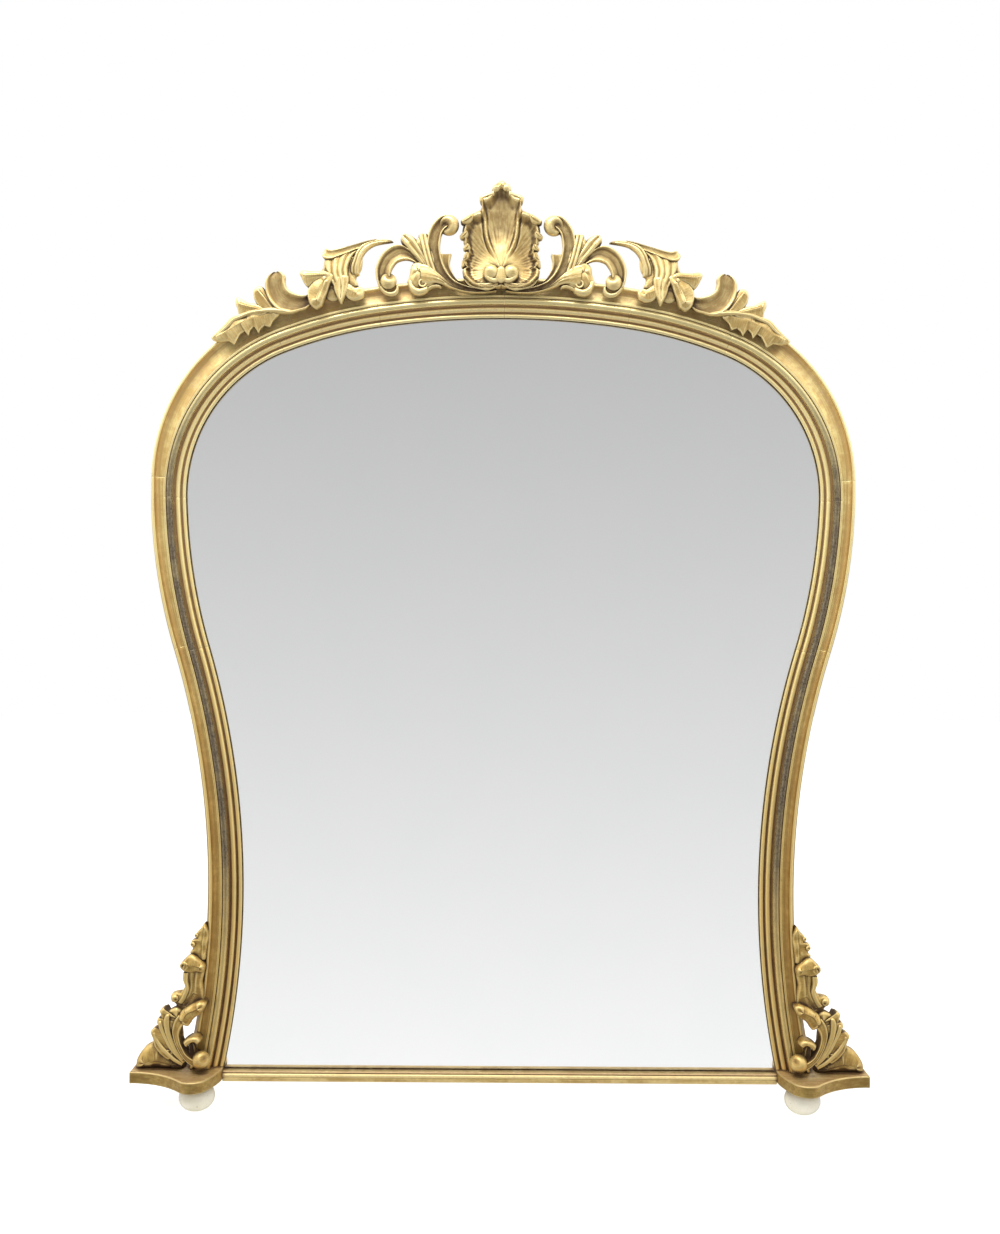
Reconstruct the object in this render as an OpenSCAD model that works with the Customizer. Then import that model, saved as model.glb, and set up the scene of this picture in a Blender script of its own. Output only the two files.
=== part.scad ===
// Arched giltwood pier mirror on two small serpentine plinths.
// Millimetres, +Z up, the glass faces -Y. The origin is on the floor line of
// the feet, at the middle of the footprint.
// Flat work is drawn as (x, z) and raised towards the viewer by a height h,
// counted from the back of the frame; stand() turns it upright.

/* [Outline] */
// Height of the sight edge's top above the feet
sight_top = 1354.5; // [1300:0.5:1420]
// Width of the gilt frame over the top of the arch, from the sight edge to the rim
head_w = 65; // [60:0.5:72]

/* [Frame section] */
// Height of the ledge that carries the sight moulding, above the frame's back
ledge_h = 24; // [22:0.5:28]
// Width of the sight moulding
sight_w = 34; // [33:0.5:38]
// Height of the rim's rounded edge above the back
rim_h = 42; // [40:0.5:46]
// How far the frame's back stands out past the rim
splay = 12; // [8:0.5:16]
// Width of the rebate that holds the glass
rebate_w = 10; // [9:0.5:12]
// Width of the shallow rebate that holds the backboards
board_rebate_w = 20; // [18:0.5:22]

/* [Glass and back] */
// Thickness of the glass plate
glass_t = 4; // [3:0.5:5]
// Thickness of the silvering and its paint
silver_t = 0.5; // [0.3:0.1:0.8]
// How far the glass reaches past the sight edge
glass_lap = 8; // [6:0.5:8.5]
// Thickness of the backboards
board_t = 8; // [6:0.5:10]
// Number of backboards
board_count = 4; // [4:1:4]
// Length of one glazing block
block_l = 40; // [30:1:50]
// Width of one glazing block
block_w = 12; // [10:0.5:14]

/* [Base] */
// Height of the bun feet
foot_height = 42; // [38:0.5:46]
// Largest radius of the bun feet
foot_r = 30; // [28:0.5:32]
// Distance of each foot's centre from the centre line
foot_x = 515; // [512:0.5:518]
// Height of each foot's centre line above the frame's back
foot_h = 52; // [50:0.5:56]
// Thickness of the plinths
plinth_t = 20; // [18:0.5:22]
// Length of each plinth
plinth_l = 154; // [150:0.5:160]
// Height of the plinth's inner end above the frame's back
plinth_h = 42; // [40:0.5:46]
// Height of the bottom rail
rail_height = 24; // [22:0.5:26]
// Depth of the bottom rail
rail_h = 40; // [38:0.5:42]

/* [Ornament] */
// How far the crest sits to the left of the centre line
crest_shift = 6; // [0:0.5:12]
// Thickness of the crest's carving
crest_t = 24; // [20:0.5:28]
// Thickness of the leaf beside each leg
side_leaf_t = 46; // [40:0.5:50]
// Thickness of the scroll at the foot of each leg
side_scroll_t = 60; // [54:0.5:64]
// Thickness of the mound leaf on each plinth
mound_t = 34; // [30:0.5:38]

/* [Hanging] */
// Distance of each hanger from the centre line
hanger_x = 587; // [585:0.5:589]
// Height of each hanger's pivot above the feet
hanger_z = 1052; // [1045:1:1060]
// Width of the hanger's strap
strap_w = 16; // [14:0.5:18]
// Thickness of the hanger's strap
strap_t = 1.5; // [1.2:0.1:1.8]
// Radius of the ring's wire
wire_r = 1.5; // [1.3:0.1:1.6]
// Radius of the ring's bend, to the middle of the wire
ring_r = 13; // [12:0.5:15]
// Thickness of the wall pads
pad_t = 7; // [6.8:0.1:8]
// Radius of the wall pads
pad_r = 9; // [8:0.5:10]

/* [Fastenings] */
// Radius of the frame's dowels
dowel_r = 5; // [4:0.25:5.5]
// Length of the frame's dowels
dowel_l = 60; // [50:1:70]
// Radius of the rail's dowels
rail_dowel_r = 3.5; // [3:0.25:4]
// Radius of the small screws' shank
screw_r = 1.4; // [1.2:0.1:1.6]
// Radius of the plinth screws' shank
plinth_screw_r = 2.4; // [2:0.1:2.8]
// Radius of the foot screws' shank
foot_screw_r = 3; // [2.5:0.1:3.5]

/* [Clearances] */
// Gap between pieces that are fitted to curved seats
seat_gap = 0.3; // [0.2:0.05:0.5]
// Gap round a dowel or screw in its hole
hole_gap = 0.1; // [0.05:0.01:0.2]
// Gap round the ring's bar in its rolled eye
pivot_gap = 0.08; // [0.03:0.01:0.1]

/* [Hidden] */
$fn = 72;
eps = 0.01;
far = 2000;
path_step = 20;

// Each arc is [radius, turn]; a turn to the right is positive.
sight_arcs = [[1470, 8.3], [742, 13.4], [265, 69.7], [991, 15], [1498, -33]];
rim_arcs = [[1430, 15.2], [309, 73.9], [962, 17.8], [1436, -31]];
rim_top = sight_top + head_w;
plinth_top = foot_height + plinth_t;
glass_h = ledge_h - glass_t;
silver_h = glass_h - silver_t;

// Sub-part names
SIDES = ["left", "right"];
SIGHT_NAMES = ["sight_crown", "sight_haunch", "sight_shoulder", "sight_belly", "sight_leg"];
FRAME_NAMES = ["frame_head", "frame_shoulder", "frame_belly", "frame_leg"];
PAIR_NAMES = ["plinth", "bun_foot", "crest_inner_scroll", "crest_leaf", "crest_outer_scroll",
    "spray_upper", "spray_lower", "side_leaf", "side_scroll", "mound_leaf",
    "hanger_plate", "hanger_ring"];
SINGLE_NAMES = ["bottom_rail", "mirror_glass", "silvering", "glazing_blocks", "board_screws",
    "dowels", "plinth_screws", "foot_screws", "crest_shell", "crest_strap", "strap_screws",
    "hanger_screws", "wall_pads"];
function both(names) = [for (n = names) for (s = SIDES) str(n, "_", s)];
board_names = [for (i = [1:board_count]) str("backboard_", i)];

// Paths made of tangent arcs. A heading is counted clockwise from +X.
function normal(a) = [-sin(a), -cos(a)];
function heading(arcs, i, first = 0) = i == 0 ? first : heading(arcs, i - 1, first) + arcs[i - 1][1];
function arc_start(p, arcs, i, first = 0) = i == 0 ? p
    : arc_start(p, arcs, i - 1, first) + sign(arcs[i - 1][1]) * arcs[i - 1][0]
        * (normal(heading(arcs, i - 1, first)) - normal(heading(arcs, i, first)));
function arc_centre(p, arcs, i, first = 0) = arc_start(p, arcs, i, first)
    + sign(arcs[i][1]) * arcs[i][0] * normal(heading(arcs, i, first));
function arc_point(p, arcs, i, a, off = 0, first = 0) = arc_centre(p, arcs, i, first)
    - sign(arcs[i][1]) * (arcs[i][0] + sign(arcs[i][1]) * off) * normal(a);
function arc_steps(arc) = max(2, ceil(abs(arc[1]) * PI / 180 * arc[0] / path_step));
function path_points(p, arcs, off = 0, first = 0, steps = 0) = [
    for (i = [0:len(arcs) - 1])
        let (n = steps > 0 ? steps : arc_steps(arcs[i]), last = i == len(arcs) - 1 ? n : n - 1)
            for (k = [0:last])
                arc_point(p, arcs, i, heading(arcs, i, first) + arcs[i][1] * k / n, off, first)];

sight_p = [0, sight_top];
rim_p = [0, rim_top];
// Half width of the sight edge at height z, on the leg
leg_centre = arc_centre(sight_p, sight_arcs, len(sight_arcs) - 1);
leg_bend = sight_arcs[len(sight_arcs) - 1][0];
function sight_half(z) = leg_centre[0] - sqrt(pow(leg_bend, 2) - pow(z - leg_centre[1], 2));
plinth_in = sight_half(plinth_top);
plinth_out = plinth_in + plinth_l;

// Front edge of the right plinth, from its inner end round the bulge to its outer end
plinth_first = -80;
plinth_arcs = [[150, 18], [28, 107], [130, -45]];
plinth_edge = path_points([plinth_in, plinth_h], plinth_arcs, 0, plinth_first, 16);
plinth_front = max([for (q = plinth_edge) q[1]]);
back_y = (plinth_front - pad_t) / 2;

module stand() {
    translate([0, back_y, 0])
        rotate([90, 0, 0])
            children();
}

// The left side mirrors the right
module sided(side) {
    if (side == "left") mirror([1, 0, 0]) children();
    else children();
}

// Draws children() in the plan of the base: (x, h) with z upwards
module plan() {
    translate([0, back_y, 0])
        mirror([0, 1, 0])
            children();
}

// A revolved length of moulding along arc i of a path; the children are its section
module moulding(p, arcs, i) {
    c = arc_centre(p, arcs, i);
    a0 = heading(arcs, i);
    turn = arcs[i][1];
    start = turn > 0 ? 90 - a0 - turn : 270 - a0;
    translate([c[0], c[1], 0])
        rotate([0, 0, start])
            rotate_extrude(angle = abs(turn), $fn = 360)
                translate([arcs[i][0], 0])
                    mirror([turn > 0 ? 0 : 1, 0])
                        children();
}

// The area inside the sight edge, grown by off
module sight_area(off) {
    half = path_points(sight_p, sight_arcs, off);
    n = len(half);
    polygon(concat(half, [for (k = [n - 1:-1:1]) [-half[k][0], half[k][1]]]));
}

module sight_prism(off, h0, h1) {
    translate([0, 0, h0])
        linear_extrude(h1 - h0)
            sight_area(off);
}

module below_plinth() {
    translate([-far / 2, plinth_top - far, -far / 2])
        cube([far, far, far]);
}

/* Sections: x is the distance outwards from the sight edge, or inwards from the rim */

sight_bead_r = 3.2;
ogee_r = 4;
bead_r = 5.5;
bead_h = rim_h - 3.5;
module sight_section() {
    polygon([[1.5, ledge_h], [sight_w, ledge_h], [sight_w, rim_h - 0.5], [30.6, rim_h - 0.5],
        [30.6, bead_h + 0.4], [29, bead_h], [20.2, bead_h], [20.2, ledge_h + 5.9],
        [18.6, ledge_h + 5.4], [16, ledge_h + 4.5], [13, ledge_h + 4], [9.8, ledge_h + 1.6],
        [6.4, ledge_h + 1.3], [4, ledge_h + 2.2], [1.5, ledge_h + 3]]);
    translate([sight_bead_r, ledge_h + sight_bead_r])
        circle(r = sight_bead_r);
    translate([13.5, ledge_h + 4.5])
        circle(r = ogee_r);
    translate([24.6, bead_h])
        circle(r = bead_r);
}

rim_r = 3.4;
cove_at = 14;
cove_h = rim_h - 8;
module rim_section() {
    difference() {
        union() {
            polygon([[-splay, 0], [66, 0], [66, rim_h], [rim_r, rim_h], [0.5, rim_h - rim_r]]);
            translate([rim_r, rim_h - rim_r])
                circle(r = rim_r);
        }
        translate([cove_at, cove_h + 9])
            circle(r = 9);
        intersection() {
            translate([cove_at, cove_h + 40])
                circle(r = 40);
            translate([cove_at, cove_h - 1])
                square(60);
        }
    }
}

module sight_piece(i, side) {
    color("goldenrod")
        stand()
            sided(side)
                difference() {
                    moulding(sight_p, sight_arcs, i)
                        sight_section();
                    if (i == len(sight_arcs) - 1) below_plinth();
                }
}

frame_dowel_v = 22;
frame_dowel_h = 15;
// Angle and place of the dowel at the start of rim arc i
module at_rim_joint(i) {
    a = heading(rim_arcs, i);
    q = arc_point(rim_p, rim_arcs, i, a, -frame_dowel_v);
    translate([q[0], q[1], frame_dowel_h])
        rotate([0, 0, -a])
            rotate([0, 90, 0])
                children();
}

module frame_dowel(gap = 0) {
    cylinder(r = dowel_r + gap, h = dowel_l + 2 * gap, center = true);
}

// Screws that hold the backboards stand in the ledge beside the rebate
board_screw_u = 15;
board_screw_l = 18;
screw_turns = [[0, 0.35], [1, 0.3], [2, 0.04], [2, 0.33], [2, 0.72], [3, 0.12], [3, 0.85],
    [4, 0.16], [4, 0.36], [4, 0.55], [4, 0.74]];
board_screw_at = [for (t = screw_turns)
    arc_point(sight_p, sight_arcs, t[0], heading(sight_arcs, t[0]) + sight_arcs[t[0]][1] * t[1],
        board_screw_u)];

// A countersunk wood screw along +Z, its head flush with z = 0
module wood_screw(r, length, gap = 0) {
    translate([0, 0, gap > 0 ? -eps : 0])
        cylinder(r = r + gap, h = length + (gap > 0 ? 0.5 : 0));
    cylinder(r1 = 2 * r + gap, r2 = r + gap, h = r + gap);
}

leg_screw_x = [plinth_in + 30, plinth_in + 48];
leg_screw_h = 12;
leg_screw_l = 50;

module hanger_holes() {
    for (z = hanger_screw_z)
        translate([hanger_x, z, -strap_t])
            wood_screw(screw_r, hanger_screw_l, hole_gap);
}

module strap_holes(side) {
    for (z = strap_screw_z)
        translate([side == "left" ? crest_shift : -crest_shift, z, -crest_strap_t])
            wood_screw(screw_r, strap_screw_l, hole_gap);
}

module frame_piece(i, side) {
    color("darkgoldenrod")
        stand()
            sided(side)
                difference() {
                    moulding(rim_p, rim_arcs, i)
                        mirror([1, 0])
                            rim_section();
                    sight_prism(rebate_w, -1, far / 10);
                    sight_prism(board_rebate_w, -1, board_t);
                    sight_prism(sight_w + seat_gap, ledge_h, far / 10);
                    at_rim_joint(i)
                        frame_dowel(hole_gap);
                    if (i < len(rim_arcs) - 1)
                        at_rim_joint(i + 1)
                            frame_dowel(hole_gap);
                    for (q = board_screw_at)
                        translate([q[0], q[1], board_t])
                            cylinder(r = screw_r + hole_gap, h = board_screw_l - board_t + 0.5);
                    if (i == 0) strap_holes(side);
                    if (i == 2) hanger_holes();
                    if (i == len(rim_arcs) - 1) {
                        below_plinth();
                        for (x = leg_screw_x)
                            translate([x, plinth_top - 1, leg_screw_h])
                                rotate([-90, 0, 0])
                                    cylinder(r = plinth_screw_r + hole_gap,
                                        h = leg_screw_l - plinth_t + 1.5);
                    }
                }
}

/* Glass and back */

rail_bottom = plinth_top - rail_height;
groove_z = plinth_top - 8;

module glass_shape(off) {
    intersection() {
        sight_area(off);
        translate([-far / 2, groove_z])
            square([far, far]);
    }
}

module mirror_glass() {
    color("lightsteelblue")
        stand()
            translate([0, 0, glass_h])
                linear_extrude(glass_t)
                    glass_shape(glass_lap);
}

module silvering() {
    color("silver")
        stand()
            translate([0, 0, silver_h])
                linear_extrude(silver_t)
                    glass_shape(glass_lap - 1);
}

board_top = sight_top + board_rebate_w;
board_pitch = (board_top - plinth_top) / board_count;

module backboard(k) {
    lower = plinth_top + seat_gap + (k - 1) * board_pitch;
    color("burlywood")
        stand()
            difference() {
                linear_extrude(board_t)
                    intersection() {
                        sight_area(board_rebate_w - 1);
                        translate([-far / 2, lower])
                            square([far, board_pitch - seat_gap]);
                    }
                board_screw_set(hole_gap);
            }
}

module board_screw_set(gap = 0) {
    for (q = board_screw_at)
        for (s = [-1, 1])
            translate([s * q[0], q[1], 0])
                wood_screw(screw_r, board_screw_l, gap);
}

module board_screws() {
    color("dimgray")
        stand()
            board_screw_set();
}

block_turns = [[0, 0.15], [1, 0.1], [1, 0.8], [2, 0.2], [2, 0.5], [2, 0.8], [3, 0.3], [3, 0.7],
    [4, 0.1], [4, 0.3], [4, 0.5], [4, 0.7]];
module glazing_blocks() {
    color("tan")
        stand()
            for (t = block_turns)
                for (side = SIDES)
                    sided(side)
                        glazing_block(t[0], heading(sight_arcs, t[0]) + sight_arcs[t[0]][1] * t[1]);
}

module glazing_block(i, a) {
    q = arc_point(sight_p, sight_arcs, i, a, rebate_w - 1);
    translate([q[0], q[1], board_t])
        rotate([0, 0, -a])
            translate([-block_l / 2, -block_w, 0])
                cube([block_l, block_w, silver_h - board_t]);
}

/* Base */

rail_dowel_z = rail_bottom + 10.5;
rail_dowel_h = 12;
rail_dowel_l = 40;

module rail_dowel(gap = 0) {
    translate([plinth_in, rail_dowel_z, rail_dowel_h])
        rotate([0, 90, 0])
            cylinder(r = rail_dowel_r + gap, h = rail_dowel_l + 2 * gap, center = true);
}

// Section of the bottom rail as [height above the back, height above the rail's underside]
module rail_section() {
    polygon([[0, 0], [rail_h - 8, 0], [rail_h - 5, 3], [rail_h - 1.5, 10.5], [rail_h - 1.5, 14],
        [rail_h - 5, 19], [rail_h - 5, 20.6], [rail_h - 3.5, 21], [rail_h - 3.5, rail_height],
        [ledge_h, rail_height], [ledge_h, groove_z - rail_bottom], [board_t, groove_z - rail_bottom],
        [board_t, rail_height], [0, rail_height]]);
    translate([rail_h - 3.6, 15.2])
        circle(r = 3.6);
}

module bottom_rail() {
    color("goldenrod")
        stand()
            difference() {
                translate([-plinth_in, rail_bottom, 0])
                    rotate([0, 90, 0])
                        mirror([1, 0, 0])
                            linear_extrude(2 * plinth_in)
                                rail_section();
                for (side = SIDES)
                    sided(side)
                        rail_dowel(hole_gap);
            }
}

module plinth(side) {
    color("peru")
        sided(side)
            difference() {
                plan()
                    translate([0, 0, foot_height])
                        linear_extrude(plinth_t)
                            polygon(concat([[plinth_in, 0]], plinth_edge,
                                [[plinth_out, plinth_edge[len(plinth_edge) - 1][1]], [plinth_out, 0]]));
                stand() {
                    rail_dowel(hole_gap);
                    translate([plinth_in - 1, groove_z - seat_gap, silver_h - seat_gap])
                        cube([glass_lap + 3, plinth_t, glass_t + silver_t + 2 * seat_gap]);
                }
                plan() {
                    for (x = leg_screw_x)
                        translate([x, leg_screw_h, foot_height])
                            wood_screw(plinth_screw_r, leg_screw_l, hole_gap);
                    translate([foot_x, foot_h, foot_height - 1])
                        cylinder(r = foot_screw_r + hole_gap, h = plinth_t - 3);
                }
            }
}

foot_round = foot_height / 2;
counterbore_r = 6;
counterbore_l = 12;
module bun_foot(side) {
    color("white")
        sided(side)
            plan()
                translate([foot_x, foot_h, 0])
                    difference() {
                        rotate_extrude()
                            intersection() {
                                union() {
                                    square([foot_r - foot_round, foot_height]);
                                    translate([foot_r - foot_round, foot_round])
                                        circle(r = foot_round);
                                }
                                square([foot_r, foot_height]);
                            }
                        translate([0, 0, -1])
                            cylinder(r = counterbore_r, h = counterbore_l + 1);
                        translate([0, 0, -1])
                            cylinder(r = foot_screw_r + hole_gap, h = foot_height + 2);
                    }
}

module foot_screws() {
    color("dimgray")
        for (side = SIDES)
            sided(side)
                plan()
                    translate([foot_x, foot_h, counterbore_l]) {
                        translate([0, 0, -4])
                            cylinder(r = counterbore_r - 1, h = 4);
                        cylinder(r = foot_screw_r, h = foot_height + plinth_t - 5 - counterbore_l);
                    }
}

module plinth_screws() {
    color("dimgray")
        for (side = SIDES)
            sided(side)
                plan()
                    for (x = leg_screw_x)
                        translate([x, leg_screw_h, foot_height])
                            wood_screw(plinth_screw_r, leg_screw_l);
}

module dowels() {
    color("wheat")
        stand() {
            at_rim_joint(0)
                frame_dowel();
            for (side = SIDES)
                sided(side) {
                    for (i = [1:len(rim_arcs) - 1])
                        at_rim_joint(i)
                            frame_dowel();
                    rail_dowel();
                }
        }
}

/* Ornament */

carving_h = rim_h + seat_gap;

// A carved leaf: an outline with a crowned face. The crown's ridge runs from a to b.
module carved(outline, a, b, thick, crown_r) {
    d = b - a;
    intersection() {
        linear_extrude(thick)
            polygon(outline);
        translate([a[0], a[1], thick - crown_r])
            rotate([0, 0, atan2(d[1], d[0])])
                rotate([0, 90, 0])
                    cylinder(r = crown_r, h = 4 * far, center = true, $fn = 180);
    }
}

// The crest is drawn on an arch whose rim is at this height
crest_drawn_at = 1419.5;
module on_frame() {
    stand()
        translate([-crest_shift, rim_top - crest_drawn_at, carving_h])
            children();
}

// A curled band: part of a ring with a knob on its end
module scroll(centre, mid_r, band_r, from, sweep, knob, knob_r) {
    intersection() {
        union() {
            translate([centre[0], centre[1], band_r])
                rotate([0, 0, from])
                    rotate_extrude(angle = sweep)
                        translate([mid_r, 0])
                            circle(r = band_r);
            translate([knob[0], knob[1], band_r])
                sphere(r = knob_r);
        }
        translate([-far / 2, 0, 0])
            cube([far, far, far]);
    }
}

shell_half = [[0, 1578], [8, 1577], [14, 1570], [18, 1560], [28, 1556], [36, 1547], [32, 1530], [44, 1526],
    [58, 1522], [67, 1511], [69, 1496], [66, 1480], [59, 1466], [64, 1448], [66, 1431], [62, 1414],
    [44, 1400], [0, 1391]];
// Each flute is [angle from the upright, width at the rim]
shell_flutes = [[-50, 15], [-26, 17], [0, 20], [26, 17], [50, 15]];
shell_focus = [0, 1425];
module crest_shell() {
    color("gold")
        difference() {
            on_frame()
                shell_block();
            stand()
                strap_screw_set(hole_gap);
        }
}

module shell_block() {
    n = len(shell_half);
    difference() {
        carved(concat(shell_half, [for (k = [n - 2:-1:1]) [-shell_half[k][0], shell_half[k][1]]]),
            [0, 1391], [0, 1578], crest_t, 120);
        for (f = shell_flutes)
            translate([shell_focus[0], shell_focus[1], crest_t + 3])
                rotate([0, 0, f[0]])
                    translate([0, 24, 0])
                        rotate([-90, 0, 0])
                            cylinder(r1 = 3, r2 = f[1], h = 160);
    }
    for (s = [-1, 1])
        translate([s * 19, 1418, crest_t - 4])
            sphere(r = 11);
}

module crest_inner_scroll(side) {
    color("gold")
        on_frame()
            sided(side)
                scroll([54, 1458], 61.7, 9, 274, 122, [94, 1503], 16);
}

module crest_leaf(side) {
    color("gold")
        on_frame()
            sided(side)
                carved([[120, 1394], [131, 1389], [146, 1388], [155, 1398], [146, 1411], [140, 1424],
                    [137, 1446], [136, 1470], [148, 1476], [145, 1489], [139, 1493], [131, 1487],
                    [130, 1474], [131, 1440], [124, 1414]],
                    [135, 1390], [142, 1490], crest_t - 6, 40);
}

module crest_outer_scroll(side) {
    color("gold")
        on_frame()
            sided(side)
                scroll([170, 1425], 30.5, 12, 335, 118, [190, 1406], 13);
}

module spray_upper(side) {
    color("gold")
        on_frame()
            sided(side)
                carved([[186, 1477], [208, 1480], [239, 1474], [267, 1466], [289, 1461], [297, 1471],
                    [304, 1456], [303, 1434], [322, 1426], [340, 1421], [335, 1404], [324, 1391],
                    [312, 1360], [297, 1376], [283, 1370], [269, 1371], [257, 1388], [240, 1391],
                    [249, 1406], [240, 1418], [247, 1426], [238, 1446], [228, 1459], [208, 1470]],
                    [220, 1460], [320, 1385], crest_t, 90);
}

module spray_lower(side) {
    color("gold")
        on_frame()
            sided(side)
                carved([[333, 1361], [341, 1378], [353, 1390], [366, 1404], [382, 1416], [396, 1408],
                    [406, 1397], [419, 1389], [446, 1368], [441, 1361], [458, 1342], [476, 1322],
                    [489, 1306], [472, 1299], [456, 1305], [443, 1322], [430, 1313], [421, 1330],
                    [408, 1327], [398, 1339], [384, 1344], [365, 1351]],
                    [340, 1375], [480, 1305], crest_t, 70);
}

// The leg's carving is drawn on a plinth whose top is at this height
leg_drawn_at = 62;
side_root = leg_drawn_at + seat_gap;
side_back = 8;
sight_h = bead_h + bead_r;

// Carving beside the right leg: it starts behind the rim and is cut away round the leg
module on_leg(side) {
    stand()
        sided(side)
            difference() {
                translate([0, plinth_top - leg_drawn_at, side_back])
                    children();
                moulding(rim_p, rim_arcs, len(rim_arcs) - 1)
                    polygon([[-60, -1], [splay + seat_gap, -1], [splay + seat_gap, 0],
                        [seat_gap, rim_h - rim_r], [seat_gap, sight_h + seat_gap],
                        [-60, sight_h + seat_gap]]);
            }
}

module side_leaf(side) {
    color("gold")
        on_leg(side)
            carved([[508, 313], [514, 304], [527, 296], [533, 281], [531, 266], [543, 246],
                [545, 236], [536, 224], [540, 206], [556, 194], [557, 183], [547, 172],
                [525, 167], [508, 176], [503, 204], [507, 240], [504, 276]],
                [530, 170], [512, 310], side_leaf_t, 50);
}

module side_scroll(side) {
    color("gold")
        on_leg(side)
            difference() {
                carved([[518, 161], [546, 166], [569, 169], [571, 150], [584, 132], [588, 113],
                    [574, 95], [556, 80], [538, side_root], [500, side_root], [487, 74], [488, 90],
                    [503, 97], [508, 110], [504, 124], [512, 146]],
                    [500, 75], [570, 160], side_scroll_t, 70);
                translate([518, 120, -1])
                    linear_extrude(side_scroll_t + 2)
                        polygon([[0, 3], [4, 0], [17, 0], [20, 5], [19, 24], [14, 31], [4, 30], [0, 22]]);
            }
}

mound_h = 12;
module mound_leaf(side) {
    color("gold")
        stand()
            sided(side)
                translate([0, plinth_top - leg_drawn_at, mound_h])
                    carved([[541, side_root], [624, side_root], [622, 76], [610, 88], [598, 99],
                        [587, 105], [577, 95.5], [559.5, 80.5]],
                        [545, 70], [620, 70], mound_t, 44);
}

/* Crest strap and hangers */

crest_strap_t = 3;
crest_strap_w = 20;
strap_low = rim_top - 55;
strap_bend = rim_top + splay + 5;
strap_high = rim_top + 120;
strap_screw_z = [rim_top - 36, rim_top - 8];
strap_screw_l = 12;
shell_screw_z = [strap_high - 12, strap_high - 36];
shell_screw_l = 14;

module crest_strap() {
    t = crest_strap_t;
    front = carving_h;
    rise = front + t;
    color("dimgray")
        stand()
            difference() {
                translate([-crest_shift - crest_strap_w / 2, 0, 0])
                    rotate([0, 90, 0])
                        mirror([1, 0, 0])
                            linear_extrude(crest_strap_w)
                                polygon([[-t, strap_low], [0, strap_low], [0, strap_bend],
                                    [front, strap_bend + rise], [front, strap_high],
                                    [front - t, strap_high], [front - t, strap_bend + rise + 1.3],
                                    [-t, strap_bend + 1.3]]);
                strap_screw_set(hole_gap);
            }
}

module strap_screw_set(gap = 0) {
    for (z = strap_screw_z)
        translate([-crest_shift, z, -crest_strap_t])
            wood_screw(screw_r, strap_screw_l, gap);
    for (z = shell_screw_z)
        translate([-crest_shift, z, carving_h - crest_strap_t])
            wood_screw(screw_r, shell_screw_l, gap);
}

module strap_screws() {
    color("gray")
        stand()
            strap_screw_set();
}

eye_r = 3.1;
eye_l = 12;
eye_h = -(strap_t + wire_r + 0.5);
plate_l = 62;
hanger_screw_z = [hanger_z - 22 - 30, hanger_z - 14 - 12];
hanger_screw_l = 15;

module hanger_plate(side) {
    color("darkkhaki")
        stand()
            sided(side)
                difference() {
                    union() {
                        translate([hanger_x - strap_w / 2, hanger_z - plate_l, -strap_t])
                            cube([strap_w, plate_l - eye_r + 1, strap_t]);
                        translate([hanger_x - eye_l / 2, hanger_z - eye_r, -strap_t])
                            cube([eye_l, eye_r, strap_t]);
                        translate([hanger_x, hanger_z, eye_h])
                            rotate([0, 90, 0])
                                cylinder(r = eye_r, h = eye_l, center = true);
                    }
                    translate([hanger_x, hanger_z, eye_h])
                        rotate([0, 90, 0])
                            cylinder(r = wire_r + pivot_gap, h = eye_l + 2, center = true);
                    hanger_holes();
                }
}

ring_leg = 8;
module hanger_ring(side) {
    color("darkkhaki")
        stand()
            sided(side)
                translate([hanger_x, hanger_z, eye_h]) {
                    rotate([0, 90, 0])
                        cylinder(r = wire_r, h = 2 * ring_r, center = true);
                    for (s = [-1, 1]) {
                        translate([s * ring_r, 0, 0])
                            sphere(r = wire_r);
                        translate([s * ring_r, 0, 0])
                            rotate([90, 0, 0])
                                cylinder(r = wire_r, h = ring_leg);
                    }
                    translate([0, -ring_leg, 0])
                        rotate([0, 0, 180])
                            rotate_extrude(angle = 180)
                                translate([ring_r, 0])
                                    circle(r = wire_r);
                }
}

module hanger_screws() {
    color("gray")
        stand()
            for (side = SIDES)
                sided(side)
                    for (z = hanger_screw_z)
                        translate([hanger_x, z, -strap_t])
                            wood_screw(screw_r, hanger_screw_l);
}

pad_z = plinth_top + 50;
module wall_pads() {
    color("saddlebrown")
        stand()
            for (side = SIDES)
                sided(side)
                    translate([sight_half(pad_z) + 38, pad_z, -pad_t])
                        cylinder(r = pad_r, h = pad_t);
}

/* Sub-parts */

for (side = SIDES) {
    for (i = [0:len(FRAME_NAMES) - 1])
        frame_piece(i, side);
    for (i = [0:len(SIGHT_NAMES) - 1])
        sight_piece(i, side);
    plinth(side);
    bun_foot(side);
    crest_inner_scroll(side);
    crest_leaf(side);
    crest_outer_scroll(side);
    spray_upper(side);
    spray_lower(side);
    side_leaf(side);
    side_scroll(side);
    mound_leaf(side);
    hanger_plate(side);
    hanger_ring(side);
}
for (k = [1:board_count])
    backboard(k);
bottom_rail();
mirror_glass();
silvering();
glazing_blocks();
board_screws();
dowels();
plinth_screws();
foot_screws();
crest_shell();
crest_strap();
strap_screws();
hanger_screws();
wall_pads();
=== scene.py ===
"""Dresses an arched giltwood pier mirror: mouldings, carving, plinths, plate and back."""
import math

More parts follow.
